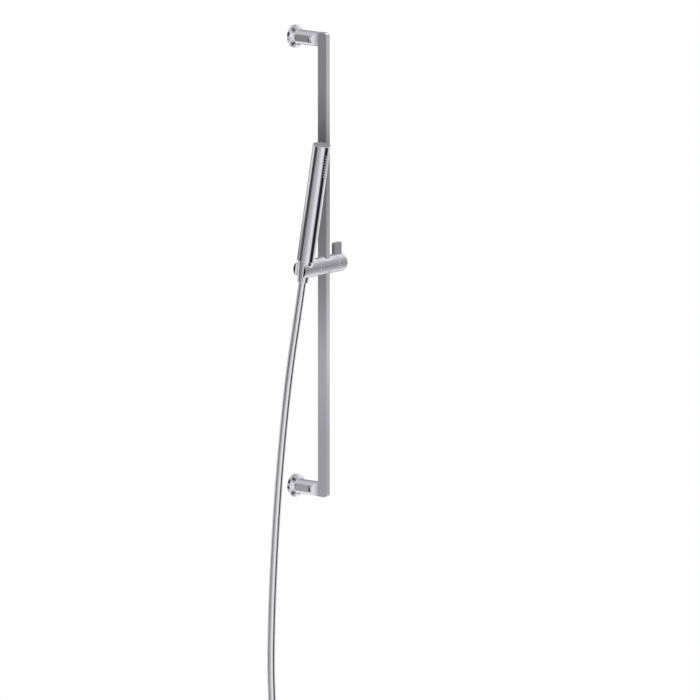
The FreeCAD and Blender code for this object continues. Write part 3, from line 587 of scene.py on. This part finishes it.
def post_blank():
    """A post on the wall at the origin's height: turned, milled on both sides and drilled."""
    piece = turned("post", [
        (POST_FOOT, POST_BORE), (POST_FOOT, POST_SPIGOT), (FLANGE_FACE, POST_SPIGOT),
        (FLANGE_FACE, COLLAR_RADIUS), (COLLAR_FACE, COLLAR_RADIUS), (COLLAR_FACE, POST_RADIUS),
        (POST_LENGTH, POST_RADIUS), (POST_LENGTH, POST_SCREW), (POST_BORE_END, POST_SCREW),
        (POST_BORE_END, POST_BORE),
    ], rounds=[(4, COLLAR_EDGE, 5), (5, COLLAR_ROOT, 8)])
    put(piece, OUT_OF_WALL)
    reach = POST_RADIUS * 2
    root = arc((POST_FLAT + FLAT_ROOT, -FLAT_START), FLAT_ROOT, *ROOT_ARC)
    runout = arc((POST_FLAT + FLAT_RUNOUT, -FLAT_END), FLAT_RUNOUT, *RUNOUT_ARC)
    neck = arc((NECK_MIDDLE[0], -NECK_MIDDLE[1]), NECK_RADIUS, *NECK_ARC)
    milled = [(reach, root[0][1])] + root + runout + [(reach, runout[-1][1])]
    necked = [(reach, neck[0][1])] + neck + [(NECK_HALF, -reach * 3), (reach, -reach * 3)]
    for side in (-1, 1):
        for cutter in (milled, necked):
            combine(piece, prism("cutter", [(side * x, y) for x, y in cutter], -reach, reach))
    combine(piece, rod("grub_hole", GRUB_RADIUS, -reach, 0, (0, -GRUB_PLACE), GRUB_STEPS))
    return soften(piece, POST_EDGE, 2)


def flange_blank():
    """A wall flange, with its rim leaning back to the wall and its front rising to the collar."""
    inside = COLLAR_RADIUS + FLANGE_GAP
    piece = turned("flange", [
        (0.0, FLANGE_BORE), (0.0, FLANGE_FOOT), (FLANGE_FACE, FLANGE_RADIUS), (COLLAR_FACE, inside),
        (FLANGE_FACE, inside), (FLANGE_FACE, FLANGE_BORE),
    ], rounds=[(1, FLANGE_EDGE, 2), (2, FLANGE_EDGE, 3)])
    return put(piece, OUT_OF_WALL)


def wall_fixings():
    posts = post_blank()
    flanges = flange_blank()
    for name, height in (("upper", FIXING_HEIGHT), ("lower", -FIXING_HEIGHT)):
        lift = Matrix.Translation((0, 0, height * MM))
        post = copied(posts, f"{name}_post_polished", lift)
        dress(post, chrome, "rail", "chrome", f"{name}_post")
        flange = copied(flanges, f"{name}_flange_polished", lift)
        dress(flange, chrome, "rail", "chrome", f"{name}_wall_flange")
    bpy.data.objects.remove(posts)
    bpy.data.objects.remove(flanges)


# Carriage, knob and holder

BARREL_RADIUS = 14.0
BARREL_SKIN = 0.05      # how near to the barrel's round a point counts as on it
BREAK_EDGE = 0.15       # the finest break of an edge
CARRIAGE_END = 22.0
SEAM_EDGE = 0.6
PIVOT_THREAD = 3.05
PIVOT_THREAD_END = -10.0
STUB_RADIUS = 7.0       # the knob turns on the stub
STUB_END = 32.0
RING_NEAR = 28.0        # the retaining ring's groove
RING_FAR = 30.0
RING_BED = 6.1
PLUNGER_BORE = 4.08
SLOT_EDGE = 0.2
SLOT_HALF_X = 6.9
SLOT_HALF_Y = 11.2
LINER_GAP = 0.05
LINER_EDGE = 0.2
LINER_INSIDE_X = 4.7
LINER_INSIDE_Y = 8.95
SHOE_WINDOW = 4.4


def on_barrel(spot):
    """Whether a point lies on the round of the slider's barrel."""
    return math.hypot(spot.y + WALL_REACH * MM, spot.z) > (BARREL_RADIUS - BARREL_SKIN) * MM


def carriage():
    piece = turned("carriage_polished", [
        (-CARRIAGE_END, PIVOT_THREAD), (-CARRIAGE_END, BARREL_RADIUS), (CARRIAGE_END, BARREL_RADIUS),
        (CARRIAGE_END, STUB_RADIUS), (RING_NEAR, STUB_RADIUS), (RING_NEAR, RING_BED), (RING_FAR, RING_BED),
        (RING_FAR, STUB_RADIUS), (STUB_END, STUB_RADIUS), (STUB_END, PLUNGER_BORE), (0.0, PLUNGER_BORE),
        (0.0, 0.0), (PIVOT_THREAD_END, 0.0), (PIVOT_THREAD_END, PIVOT_THREAD),
    ], rounds=[(1, SEAM_EDGE, 1), (2, SEAM_EDGE, 1)])
    put(piece, SLIDER @ ALONG_X)
    combine(piece, put(shaft("slot", SLOT_HALF_X, SLOT_HALF_Y, BARREL_RADIUS * 2), SLIDER))
    inside = (SLOT_HALF_X + PICK_MARGIN) * MM

    def round_slot(edge):
        return all(abs(vertex.co.x) < inside and on_barrel(vertex.co) for vertex in edge.verts)

    bevel_edges(piece, round_slot, SLOT_EDGE, 2)
    soften(piece, BREAK_EDGE, 2)
    dress(piece, shaded_slider_chrome, "carriage", "chrome", "carriage_body")


def slide_liner():
    """The white sleeve round the bar, flush with the barrel, with a window for the brake shoe."""
    reach = BARREL_RADIUS * 2
    half = SLOT_HALF_X - LINER_GAP
    piece = put(rod("slide_liner_white", BARREL_RADIUS, -half, half), ALONG_X)
    combine(piece, shaft("sides", reach, SLOT_HALF_Y - LINER_GAP, reach), "INTERSECT")
    combine(piece, shaft("bar_way", LINER_INSIDE_X, LINER_INSIDE_Y, reach))
    combine(piece, put(rod("window", SHOE_WINDOW, 0, reach), ALONG_X))
    soften(piece, LINER_EDGE, 2)
    put(piece, SLIDER)
    dress(piece, white_acetal, "carriage", "liner_plastic", "slide_liner")


KNOB_EDGE = 1.0
KNOB_NEAR = 22.6
KNOB_FAR = 42.0
KNOB_BORE = 7.08
KNOB_BORE_END = 32.4
RING_POCKET = 7.98
PLUNGER_ROOM = 38.8
TAB_NEAR = 23.7
TAB_FAR = 40.9
TAB_FOOT = 11.0
TAB_TOP = 32.0
TAB_FRONT = 2.35
TAB_BACK = 3.9
TAB_CORNER = 1.8
TAB_CORNER_STEPS = 8
TAB_EDGE = 0.35


def knob():
    piece = turned("knob_polished", [
        (KNOB_NEAR, KNOB_BORE), (KNOB_NEAR, BARREL_RADIUS), (KNOB_FAR, BARREL_RADIUS), (KNOB_FAR, 0.0),
        (PLUNGER_ROOM, 0.0), (PLUNGER_ROOM, PLUNGER_BORE), (KNOB_BORE_END, PLUNGER_BORE),
        (KNOB_BORE_END, KNOB_BORE), (RING_FAR, KNOB_BORE), (RING_FAR, RING_POCKET), (RING_NEAR, RING_POCKET),
        (RING_NEAR, KNOB_BORE),
    ], rounds=[(1, KNOB_EDGE, 1), (2, KNOB_EDGE, 1)])
    put(piece, SLIDER @ ALONG_X)
    soften(piece, BREAK_EDGE, 2)
    tab = block("tab", (TAB_NEAR, -TAB_FRONT, TAB_FOOT), (TAB_FAR, TAB_BACK, TAB_TOP))
    top = (TAB_TOP - PICK_MARGIN) * MM

    def at_top_end(edge):
        first, second = (vertex.co for vertex in edge.verts)
        return min(first.z, second.z) > top and abs(first.x - second.x) < MERGE_DISTANCE

    bevel_edges(tab, at_top_end, TAB_CORNER, TAB_CORNER_STEPS)
    bevel_edges(tab, None, TAB_EDGE, EDGE_STEPS)
    combine(piece, put(tab, SLIDER), "UNION")
    dress(piece, shaded_slider_chrome, "knob", "chrome", "clamp_knob")


HOLDER_NEAR = 24.3
HOLDER_OVERHANG = 12.4
PIVOT_HOLE = 3.08
PIVOT_HEAD_ROOM = 5.3
PIVOT_HEAD_SEAT = 16.7
NUT_FOOT_RADIUS = 8.8
NUT_TOP_RADIUS = 12.0
NUT_TOP = 14.2
NUT_SLOPE = (NUT_TOP_RADIUS - NUT_FOOT_RADIUS) / (NUT_TOP + NUT_DROP)
SEAT_GAP = 0.15
SEAT_OVERCUT = 1.0
LINING_WALL = 1.2
FORK_HALF = 9.0
FORK_ROUND = 1.4
FORK_EDGE = 0.3
FORK_LEAN = 3.5         # the prongs' ends look a little towards the wall
FORK_LEAN_DEPTH = 2.0   # how much of the prongs leans


def seat_radius(height):
    """Radius of the tapered seat at a height above the slider's axis."""
    return NUT_FOOT_RADIUS + (height + NUT_DROP) * NUT_SLOPE + SEAT_GAP


def seat_cutter(wall):
    """The tapered seat with its open mouth, wider by a wall that stands behind it."""
    reach = BARREL_RADIUS + SEAT_OVERCUT
    half = FORK_HALF - LINING_WALL + wall
    deselect()
    bpy.ops.mesh.primitive_cone_add(vertices=TURN_STEPS, radius1=(seat_radius(-reach) + wall) * MM,
                                    radius2=(seat_radius(reach) + wall) * MM, depth=2 * reach * MM)
    piece = named("seat")
    combine(piece, block("mouth", (-HOLDER_OVERHANG * 2, -half, -reach), (0, half, reach)), "UNION")
    return put(piece, SEAT)


def holder():
    """The fork with its tapered seat, and the white lining of the seat."""
    piece = turned("holder_polished", [
        (-HOLDER_OVERHANG, 0.0), (-HOLDER_OVERHANG, BARREL_RADIUS), (HOLDER_NEAR, BARREL_RADIUS),
        (HOLDER_NEAR, PIVOT_HOLE), (PIVOT_HEAD_SEAT, PIVOT_HOLE), (PIVOT_HEAD_SEAT, PIVOT_HEAD_ROOM),
        (0.0, PIVOT_HEAD_ROOM), (0.0, 0.0),
    ], rounds=[(1, FORK_ROUND, 6), (2, SEAM_EDGE, 3)])
    put(piece, ALONG_X)
    bpy.ops.object.mode_set(mode="EDIT")
    pick(piece, "VERT", lambda vertex: vertex.co.x < (FORK_LEAN_DEPTH - HOLDER_OVERHANG) * MM)
    bpy.ops.transform.rotate(value=math.radians(FORK_LEAN), orient_axis="Z", orient_type="GLOBAL",
                             center_override=(-HOLDER_OVERHANG * MM, 0, 0))
    put(piece, SEAT)
    lining = copied(piece, "seat_lining_white", Matrix())
    combine(piece, seat_cutter(LINING_WALL))
    soften(piece, FORK_EDGE, 2)
    combine(lining, seat_cutter(LINING_WALL), "INTERSECT")
    combine(lining, seat_cutter(0))
    soften(lining, BREAK_EDGE, 2)
    dress(piece, shaded_slider_chrome, "holder", "chrome", "holder_fork")
    dress(lining, white_acetal, "holder", "liner_plastic")


# Handset

HANDSET_RADIUS = 14.0
HANDSET_BORE = 12.6
HANDSET_FOOT = 14.4
HANDSET_FOOT_EDGE = 0.5
TUBE_TOP = 200.8
TUBE_TOP_EDGE = 0.2
HANDSET_TOP = 203.3
CAP_EDGE = 0.8
CAP_PLUG_FOOT = 196.1
SPRAY_MIDDLE = 171.6
SPRAY_LENGTH = 42.0
SPRAY_TURN = 12.0
SPRAY_COLUMNS = (-2, -1, 0, 1, 2)
ROUNDING = 0.001        # keeps a whole number of pitches whole
NOZZLE_PITCH = 4.2
NOZZLE_STEP = 12.0
NOZZLE_RADIUS = 1.0
NOZZLE_TIP = 0.7
NOZZLE_ROUND = 0.2
NOZZLE_HEIGHT = 1.1
NOZZLE_ROOT = 0.3       # how far the nozzles start inside the strip
NOZZLE_SIDES = 16
JET_RADIUS = 0.28
JET_DEPTH = 0.8
DRILL_GAP = 0.12
DRILL_OVERCUT = 1.0
DRILL_SIDES = 24
STRIP_RADIUS = 12.5
STRIP_WALL = 1.2
STRIP_MARGIN = 3.0
STRIP_STEPS = 32


def nozzle_places():
    """The turn and lift of each nozzle: staggered columns, shorter at the sides."""
    for column in SPRAY_COLUMNS:
        rows = math.floor(SPRAY_LENGTH / NOZZLE_PITCH - abs(column) + ROUNDING) + 1
        angle = math.radians(SPRAY_TURN + column * NOZZLE_STEP)
        for row in range(rows):
            height = SPRAY_MIDDLE + (row - (rows - 1) / 2) * NOZZLE_PITCH
            yield Matrix.Translation((0, 0, height * MM)) @ Matrix.Rotation(angle, 4, "Z") @ OUT_OF_WALL


def handset_tube():
    piece = turned("handset_polished", [
        (HANDSET_FOOT, HANDSET_BORE), (HANDSET_FOOT, HANDSET_RADIUS), (TUBE_TOP, HANDSET_RADIUS),
        (TUBE_TOP, HANDSET_BORE),
    ], rounds=[(1, HANDSET_FOOT_EDGE, 3), (2, TUBE_TOP_EDGE, 2)])
    drill = rod("drill", NOZZLE_RADIUS + DRILL_GAP, STRIP_RADIUS - DRILL_OVERCUT,
                HANDSET_RADIUS + DRILL_OVERCUT, vertices=DRILL_SIDES)
    drills = [copied(drill, "drill", place) for place in nozzle_places()]
    bpy.data.objects.remove(drill)
    combine(piece, joined("drills", drills))
    put(piece, SEAT)
    dress(piece, chrome, "holder", "chrome", "handset_tube")


def nozzles():
    """The soft strip with its round-tipped nozzles, each open at the tip."""
    spread = (len(SPRAY_COLUMNS) - 1) * NOZZLE_STEP + 2 * math.degrees(STRIP_MARGIN / STRIP_RADIUS)
    low = SPRAY_MIDDLE - SPRAY_LENGTH / 2 - STRIP_MARGIN
    high = SPRAY_MIDDLE + SPRAY_LENGTH / 2 + STRIP_MARGIN
    inside = STRIP_RADIUS - STRIP_WALL
    strip = turned("strip", [(low, inside), (low, STRIP_RADIUS), (high, STRIP_RADIUS), (high, inside)],
                   angle=spread, steps=STRIP_STEPS)
    put(strip, Matrix.Rotation(math.radians(SPRAY_TURN - 90 - spread / 2), 4, "Z"))
    root = STRIP_RADIUS - NOZZLE_ROOT
    tip = HANDSET_RADIUS + NOZZLE_HEIGHT
    nub = turned("nub", [
        (root, 0.0), (root, NOZZLE_RADIUS), (tip, NOZZLE_TIP), (tip, JET_RADIUS),
        (tip - JET_DEPTH, JET_RADIUS), (tip - JET_DEPTH, 0.0),
    ], rounds=[(2, NOZZLE_ROUND, 3)], steps=NOZZLE_SIDES)
    nubs = [copied(nub, "nub", place) for place in nozzle_places()]
    bpy.data.objects.remove(nub)
    piece = put(joined("nozzles_soft", [strip] + nubs), SEAT)
    dress(piece, silicone, "holder", "nozzle_rubber", "nozzle_strip")


def handset_cap():
    piece = turned("handset_cap_polished", [
        (CAP_PLUG_FOOT, 0.0), (CAP_PLUG_FOOT, STRIP_RADIUS), (TUBE_TOP, STRIP_RADIUS),
        (TUBE_TOP, HANDSET_RADIUS), (HANDSET_TOP, HANDSET_RADIUS), (HANDSET_TOP, 0.0),
    ], rounds=[(3, TUBE_TOP_EDGE, 2), (4, CAP_EDGE, 4)])
    put(piece, SEAT)
    dress(piece, chrome, "holder", "chrome", "handset_cap")


NUT_HOSE_WAY = 6.6
NUT_SHOULDER = 5.0
NUT_BED = 9.5
NUT_THREAD = 10.55
NUT_THREAD_FOOT = 7.0
NUT_END_EDGE = 0.4
NUT_FOOT_EDGE = 0.8


def cone_nut():
    piece = turned("cone_nut_polished", [
        (-NUT_DROP, NUT_HOSE_WAY), (-NUT_DROP, NUT_FOOT_RADIUS), (NUT_TOP, NUT_TOP_RADIUS),
        (NUT_TOP, NUT_THREAD), (NUT_THREAD_FOOT, NUT_THREAD), (NUT_THREAD_FOOT, NUT_BED),
        (NUT_SHOULDER, NUT_BED), (NUT_SHOULDER, NUT_HOSE_WAY),
    ], rounds=[(0, NUT_END_EDGE, 3), (1, NUT_FOOT_EDGE, 5), (2, NUT_END_EDGE, 3)])
    put(piece, SEAT)
    dress(piece, chrome, "holder", "chrome", "hose_cone_nut")


# Hose end: heights are from the hose's cut end.

HOSE_END = Vector(COIL_START) - Vector((0, COIL_PITCH * COIL_TURNS, TAIL_LENGTH))
TAIL_PLACE = Matrix.Translation(HOSE_END * MM)
FERRULE_WAY = 4.5
FERRULE_STEM = 6.0
FERRULE_LIP = 9.0
FERRULE_LIP_FOOT = -15.0
FERRULE_LIP_TOP = -13.0
FERRULE_CUP = 7.8
FERRULE_CUP_BORE = 6.35
FERRULE_CUP_FOOT = -2.0
FERRULE_CUP_TOP = 10.0
FERRULE_FOOT_EDGE = 0.4
FERRULE_TOP_EDGE = 0.6


def end_ferrule():
    piece = turned("end_ferrule_polished", [
        (FERRULE_LIP_FOOT, FERRULE_WAY), (FERRULE_LIP_FOOT, FERRULE_LIP), (FERRULE_LIP_TOP, FERRULE_LIP),
        (FERRULE_LIP_TOP, FERRULE_STEM), (FERRULE_CUP_FOOT, FERRULE_STEM), (FERRULE_CUP_FOOT, FERRULE_CUP),
        (FERRULE_CUP_TOP, FERRULE_CUP), (FERRULE_CUP_TOP, FERRULE_CUP_BORE), (0.0, FERRULE_CUP_BORE),
        (0.0, FERRULE_WAY),
    ], rounds=[(5, FERRULE_FOOT_EDGE, 3), (6, FERRULE_TOP_EDGE, 4)])
    put(piece, TAIL_PLACE)
    dress(piece, chrome, "carriage", "chrome", "hose_end_ferrule")
    return piece


END_NUT_FLATS = 24.0
HEXAGON_DEPTH = 30.0
END_NUT_FOOT = -27.2
END_NUT_TOP = -3.8
END_NUT_BEVEL = 1.2
END_NUT_EDGE = 0.25
END_NUT_NECK = 6.08
END_NUT_NECK_FOOT = -12.6
END_NUT_LIP_ROOM = 9.9
END_NUT_THREAD = 9.5
END_NUT_THREAD_TOP = -17.2


def end_nut():
    """The hexagon swivel nut, bevelled at both ends."""
    corner = END_NUT_FLATS / math.sqrt(3)
    flat = END_NUT_FLATS / 2
    piece = turned("end_nut_polished", [
        (END_NUT_FOOT, END_NUT_THREAD), (END_NUT_FOOT, flat), (END_NUT_FOOT + END_NUT_BEVEL, corner),
        (END_NUT_TOP - END_NUT_BEVEL, corner), (END_NUT_TOP, flat), (END_NUT_TOP, END_NUT_NECK),
        (END_NUT_NECK_FOOT, END_NUT_NECK), (END_NUT_NECK_FOOT, END_NUT_LIP_ROOM),
        (END_NUT_THREAD_TOP, END_NUT_LIP_ROOM), (END_NUT_THREAD_TOP, END_NUT_THREAD),
    ])
    hexagon = rod("hexagon", corner, -HEXAGON_DEPTH, 0.0, vertices=6)
    put(hexagon, Matrix.Rotation(math.radians(30), 4, "Z"))
    combine(piece, hexagon, "INTERSECT")
    soften(piece, END_NUT_EDGE, 2)
    put(piece, TAIL_PLACE)
    dress(piece, chrome, "end_nut", "chrome", "hose_end_nut")
    return piece


TIE_WALL = 1.0
TIE_EDGE = 0.35


def coil_tie():
    """The plastic strap round the stored turns."""
    low, high = (Vector(corner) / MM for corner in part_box("coil_tie"))
    wall = Vector((-TIE_WALL, TIE_WALL, TIE_WALL))
    piece = block("coil_tie_strap", low, high)
    combine(piece, block("inside", low + wall, high - wall))
    soften(piece, TIE_EDGE)
    dress(piece, acetal, "carriage", "liner_plastic", "coil_tie")
    return piece


# Inner pieces keep their solids and get their real finish.

INNER_FINISHES = [
    (brass, ["upper_wall_boss", "lower_wall_boss", "clamp_plunger", "handset_inlet", "hose_top_ferrule"]),
    (steel, ["boss_grub_screws", "post_screws", "knob_ring", "spring_washer", "pivot_screw"]),
    (acetal, ["brake_shoe", "tilt_disc"]),
    (seal_rubber, ["handset_washer", "hose_end_washer"]),
]


def inner_pieces():
    for material, nodes in INNER_FINISHES:
        for node in nodes:
            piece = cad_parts[node]
            piece.data.materials.clear()
            piece.data.materials.append(material)
            piece.visible_glossy = False


# Studio, in metres: white surroundings, a soft lamp overhead and a screen that the chrome mirrors.

SCREEN_RADIUS = 3.0
SCREEN_LOW = -5.0
SCREEN_HIGH = 5.0
SCREEN_SIDES = 96
FLOOR_HEIGHT = -1.2
FLOOR_RADIUS = 0.9
FLOOR_SIDES = 128
FLOOR_LIFT = 0.27       # brings the floor near the white of the background
WHITE = 1.0
MATT_LIGHT = 0.6        # what the surroundings give to matt surfaces
LAMP_PLACE = Vector((-0.8, -1.6, 2.2))
LAMP_SIZE = 1.2
LAMP_POWER = 18.0
# What the screen shows round the object, in zones from its top to its foot: the angle from the camera's
# direction, positive to its right, and the brightness there. Dark flags stand at both sides.
SKY = [
    (-180, 0.45), (-124, 0.75), (-60, 0.70), (10, 1.05), (34, 1.05), (55, 0.10), (62, 0.15), (72, 0.55),
    (98, 0.70), (108, 0.95), (140, 1.40), (155, 1.35), (166, 1.15), (172, 0.45),
]
UPPER_WALL = [
    (-180, 0.35), (-150, 0.45), (-138, 0.60), (-124, 0.45), (-117, 0.08), (-94, 0.06), (-90, 0.55),
    (-60, 0.50), (10, 1.10), (34, 1.10), (55, 0.03), (62, 0.06), (72, 0.45), (90, 0.50), (140, 1.30),
    (155, 1.30), (166, 1.10), (172, 0.35),
]
MIDDLE_WALL = [
    (-180, 0.30), (-150, 0.30), (-138, 0.80), (-108, 0.90), (-95, 0.85), (-90, 0.02), (-82.5, 0.02),
    (-80.8, 0.31), (-77.5, 0.31), (-75.5, 0.07), (-64, 0.07), (-54, 0.28), (-9, 0.62), (10, 1.00),
    (34, 1.00), (47, 0.30), (55, 0.02), (90, 0.02), (98, 0.62), (122, 0.70), (155, 0.95), (166, 0.80),
    (172, 0.30),
]
LOWER_WALL = [
    (-180, 0.30), (-150, 0.30), (-138, 0.80), (-108, 0.90), (-97, 0.02), (-82, 0.02), (-80.3, 0.47),
    (-60, 0.30), (-9, 0.70), (10, 1.00), (34, 1.00), (47, 0.30), (55, 0.02), (90, 0.02), (98, 0.52),
    (108, 0.75), (155, 1.10), (166, 0.80), (172, 0.30),
]
FOOT = [
    (-180, 1.00), (-138, 1.10), (-108, 0.80), (-90, 1.00), (34, 1.00), (47, 0.30), (55, 0.05), (62, 0.10),
    (72, 0.50), (90, 0.55), (122, 1.20), (155, 1.35), (172, 1.00),
]
SCREEN_ZONES = [SKY, UPPER_WALL, MIDDLE_WALL, LOWER_WALL, FOOT]
# Heights in metres between which each zone fades to the next.
SCREEN_FADES = [(2.1, 1.5), (0.7, -0.2), (-0.55, -0.78), (-1.7, -2.7)]
# Height and gain of the soft dark and light bands across the screen.
SCREEN_BANDS = [
    (-0.82, 1.00), (-0.76, 1.10), (-0.68, 1.25), (-0.62, 1.15), (-0.57, 1.00), (-0.52, 0.88), (-0.44, 0.75),
    (-0.34, 0.42), (-0.31, 0.50), (-0.27, 0.80), (-0.22, 1.00),
]


def studio_screen():
    """A round screen that the chrome mirrors: the camera looks through it, and it throws no shadow."""
    deselect()
    middle = (0, 0, (SCREEN_LOW + SCREEN_HIGH) / 2)
    bpy.ops.mesh.primitive_cylinder_add(vertices=SCREEN_SIDES, radius=SCREEN_RADIUS,
                                        depth=SCREEN_HIGH - SCREEN_LOW, end_fill_type="NOTHING",
                                        location=middle)
    screen = named("studio_screen")
    bpy.ops.object.transform_apply(location=True, rotation=True, scale=True)
    screen.visible_camera = False
    screen.visible_shadow = False
    material = bpy.data.materials.new("studio_screen")
    material.use_nodes = True
    tree = material.node_tree
    tree.nodes.clear()
    coords = add_node(tree, "ShaderNodeTexCoord")
    # Turn the camera's direction to +X, so that the angle round the screen starts there.
    turn = add_node(tree, "ShaderNodeMapping", inputs={"Rotation": (0, 0, math.radians(90 - VIEW_AZIMUTH))},
                    links={"Vector": (coords, "Object")})
    parts = add_node(tree, "ShaderNodeSeparateXYZ", links={"Vector": (turn, "Vector")})
    angle = add_node(tree, "ShaderNodeMath", operation="ARCTAN2")
    tree.links.new(parts.outputs["Y"], angle.inputs[0])
    tree.links.new(parts.outputs["X"], angle.inputs[1])
    share = add_node(tree, "ShaderNodeMapRange", inputs={"From Min": -math.pi, "From Max": math.pi},
                     links={"Value": (angle, "Value")})
    lowest = SCREEN_BANDS[0][0]
    span = SCREEN_BANDS[-1][0] - lowest
    lift = add_node(tree, "ShaderNodeMapRange", inputs={"From Min": lowest, "From Max": lowest + span},
                    links={"Value": (parts, "Z")})
    rows = [(share, [((place + 180) / 360, tone) for place, tone in zone]) for zone in SCREEN_ZONES]
    rows.append((lift, [((height - lowest) / span, gain) for height, gain in SCREEN_BANDS]))
    greys = []
    for source, stops in rows:
        grey = add_node(tree, "ShaderNodeValToRGB", links={"Fac": (source, "Result")})
        elements = grey.color_ramp.elements
        elements.remove(elements[1])
        elements[0].position = stops[0][0]
        elements[0].color = [stops[0][1]] * 3 + [1.0]
        for place, tone in stops[1:]:
            elements.new(place).color = [tone] * 3 + [1.0]
        greys.append(grey)
    *tones, bands = greys
    glow = tones[0]
    for (start, end), below in zip(SCREEN_FADES, tones[1:]):
        fade = add_node(tree, "ShaderNodeMapRange", interpolation_type="SMOOTHSTEP",
                        inputs={"From Min": start, "From Max": end}, links={"Value": (parts, "Z")})
        glow = add_node(tree, "ShaderNodeMixRGB", links={
            "Fac": (fade, "Result"), "Color1": (glow, "Color"), "Color2": (below, "Color")})
    glow = add_node(tree, "ShaderNodeMixRGB", blend_type="MULTIPLY", inputs={"Fac": 1.0},
                    links={"Color1": (glow, "Color"), "Color2": (bands, "Color")})
    light = add_node(tree, "ShaderNodeEmission", links={"Color": (glow, "Color")})
    add_node(tree, "ShaderNodeOutputMaterial", links={"Surface": (light, "Emission")})
    screen.data.materials.append(material)


def seen_directly(tree):
    """1 where the camera, a mirror or clear plastic shows the background, and 0 where it only lights."""
    path = add_node(tree, "ShaderNodeLightPath")
    seen = add_node(tree, "ShaderNodeMath", operation="MAXIMUM")
    tree.links.new(path.outputs["Is Camera Ray"], seen.inputs[0])
    tree.links.new(path.outputs["Is Glossy Ray"], seen.inputs[1])
    clear = add_node(tree, "ShaderNodeMath", operation="MAXIMUM")
    tree.links.new(seen.outputs["Value"], clear.inputs[0])
    tree.links.new(path.outputs["Is Transmission Ray"], clear.inputs[1])
    return clear


def floor():
    deselect()
    bpy.ops.mesh.primitive_circle_add(vertices=FLOOR_SIDES, radius=FLOOR_RADIUS, fill_type="NGON",
                                      location=(0, 0, FLOOR_HEIGHT))
    piece = named("studio_floor")
    bpy.ops.object.transform_apply(location=True, rotation=True, scale=True)
    material, tree, shader, coords = new_material("matt_white_floor")
    set_inputs(shader, Base_Color=linear("#F4F4F4"), Roughness=0.8, Emission_Color=(1, 1, 1, 1))
    lift = add_node(tree, "ShaderNodeMapRange", inputs={"To Min": 0.0, "To Max": FLOOR_LIFT},
                    links={"Value": (seen_directly(tree), "Value")})
    tree.links.new(lift.outputs["Result"], shader.inputs["Emission Strength"])
    piece.data.materials.append(material)
    piece.visible_glossy = False


def surroundings():
    """White all round for the camera and the reflections, softer on matt surfaces."""
    world = bpy.data.worlds.new("white_studio")
    bpy.context.scene.world = world
    world.use_nodes = True
    tree = world.node_tree
    tree.nodes.clear()
    level = add_node(tree, "ShaderNodeMapRange", inputs={"To Min": MATT_LIGHT, "To Max": WHITE},
                     links={"Value": (seen_directly(tree), "Value")})
    glow = add_node(tree, "ShaderNodeBackground", inputs={"Color": (1, 1, 1, 1)},
                    links={"Strength": (level, "Result")})
    add_node(tree, "ShaderNodeOutputWorld", links={"Surface": (glow, "Background")})


def overhead_lamp():
    data = bpy.data.lights.new("overhead_lamp", "AREA")
    data.shape = "DISK"
    data.size = LAMP_SIZE
    data.energy = LAMP_POWER
    lamp = bpy.data.objects.new("overhead_lamp", data)
    lamp.visible_glossy = False
    lamp.matrix_world = facing(LAMP_PLACE, LAMP_PLACE)
    bpy.context.scene.collection.objects.link(lamp)


camera()
surroundings()
studio_screen()
floor()
overhead_lamp()
bpy.context.scene.view_settings.view_transform = "Standard"

shower_hose, hose_path = hose()
rail_bar()
wall_fixings()
carriage()
slide_liner()
knob()
holder()
handset_tube()
nozzles()
handset_cap()
cone_nut()
ferrule = end_ferrule()
swivel_nut = end_nut()
tie = coil_tie()
inner_pieces()

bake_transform(shower_hose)
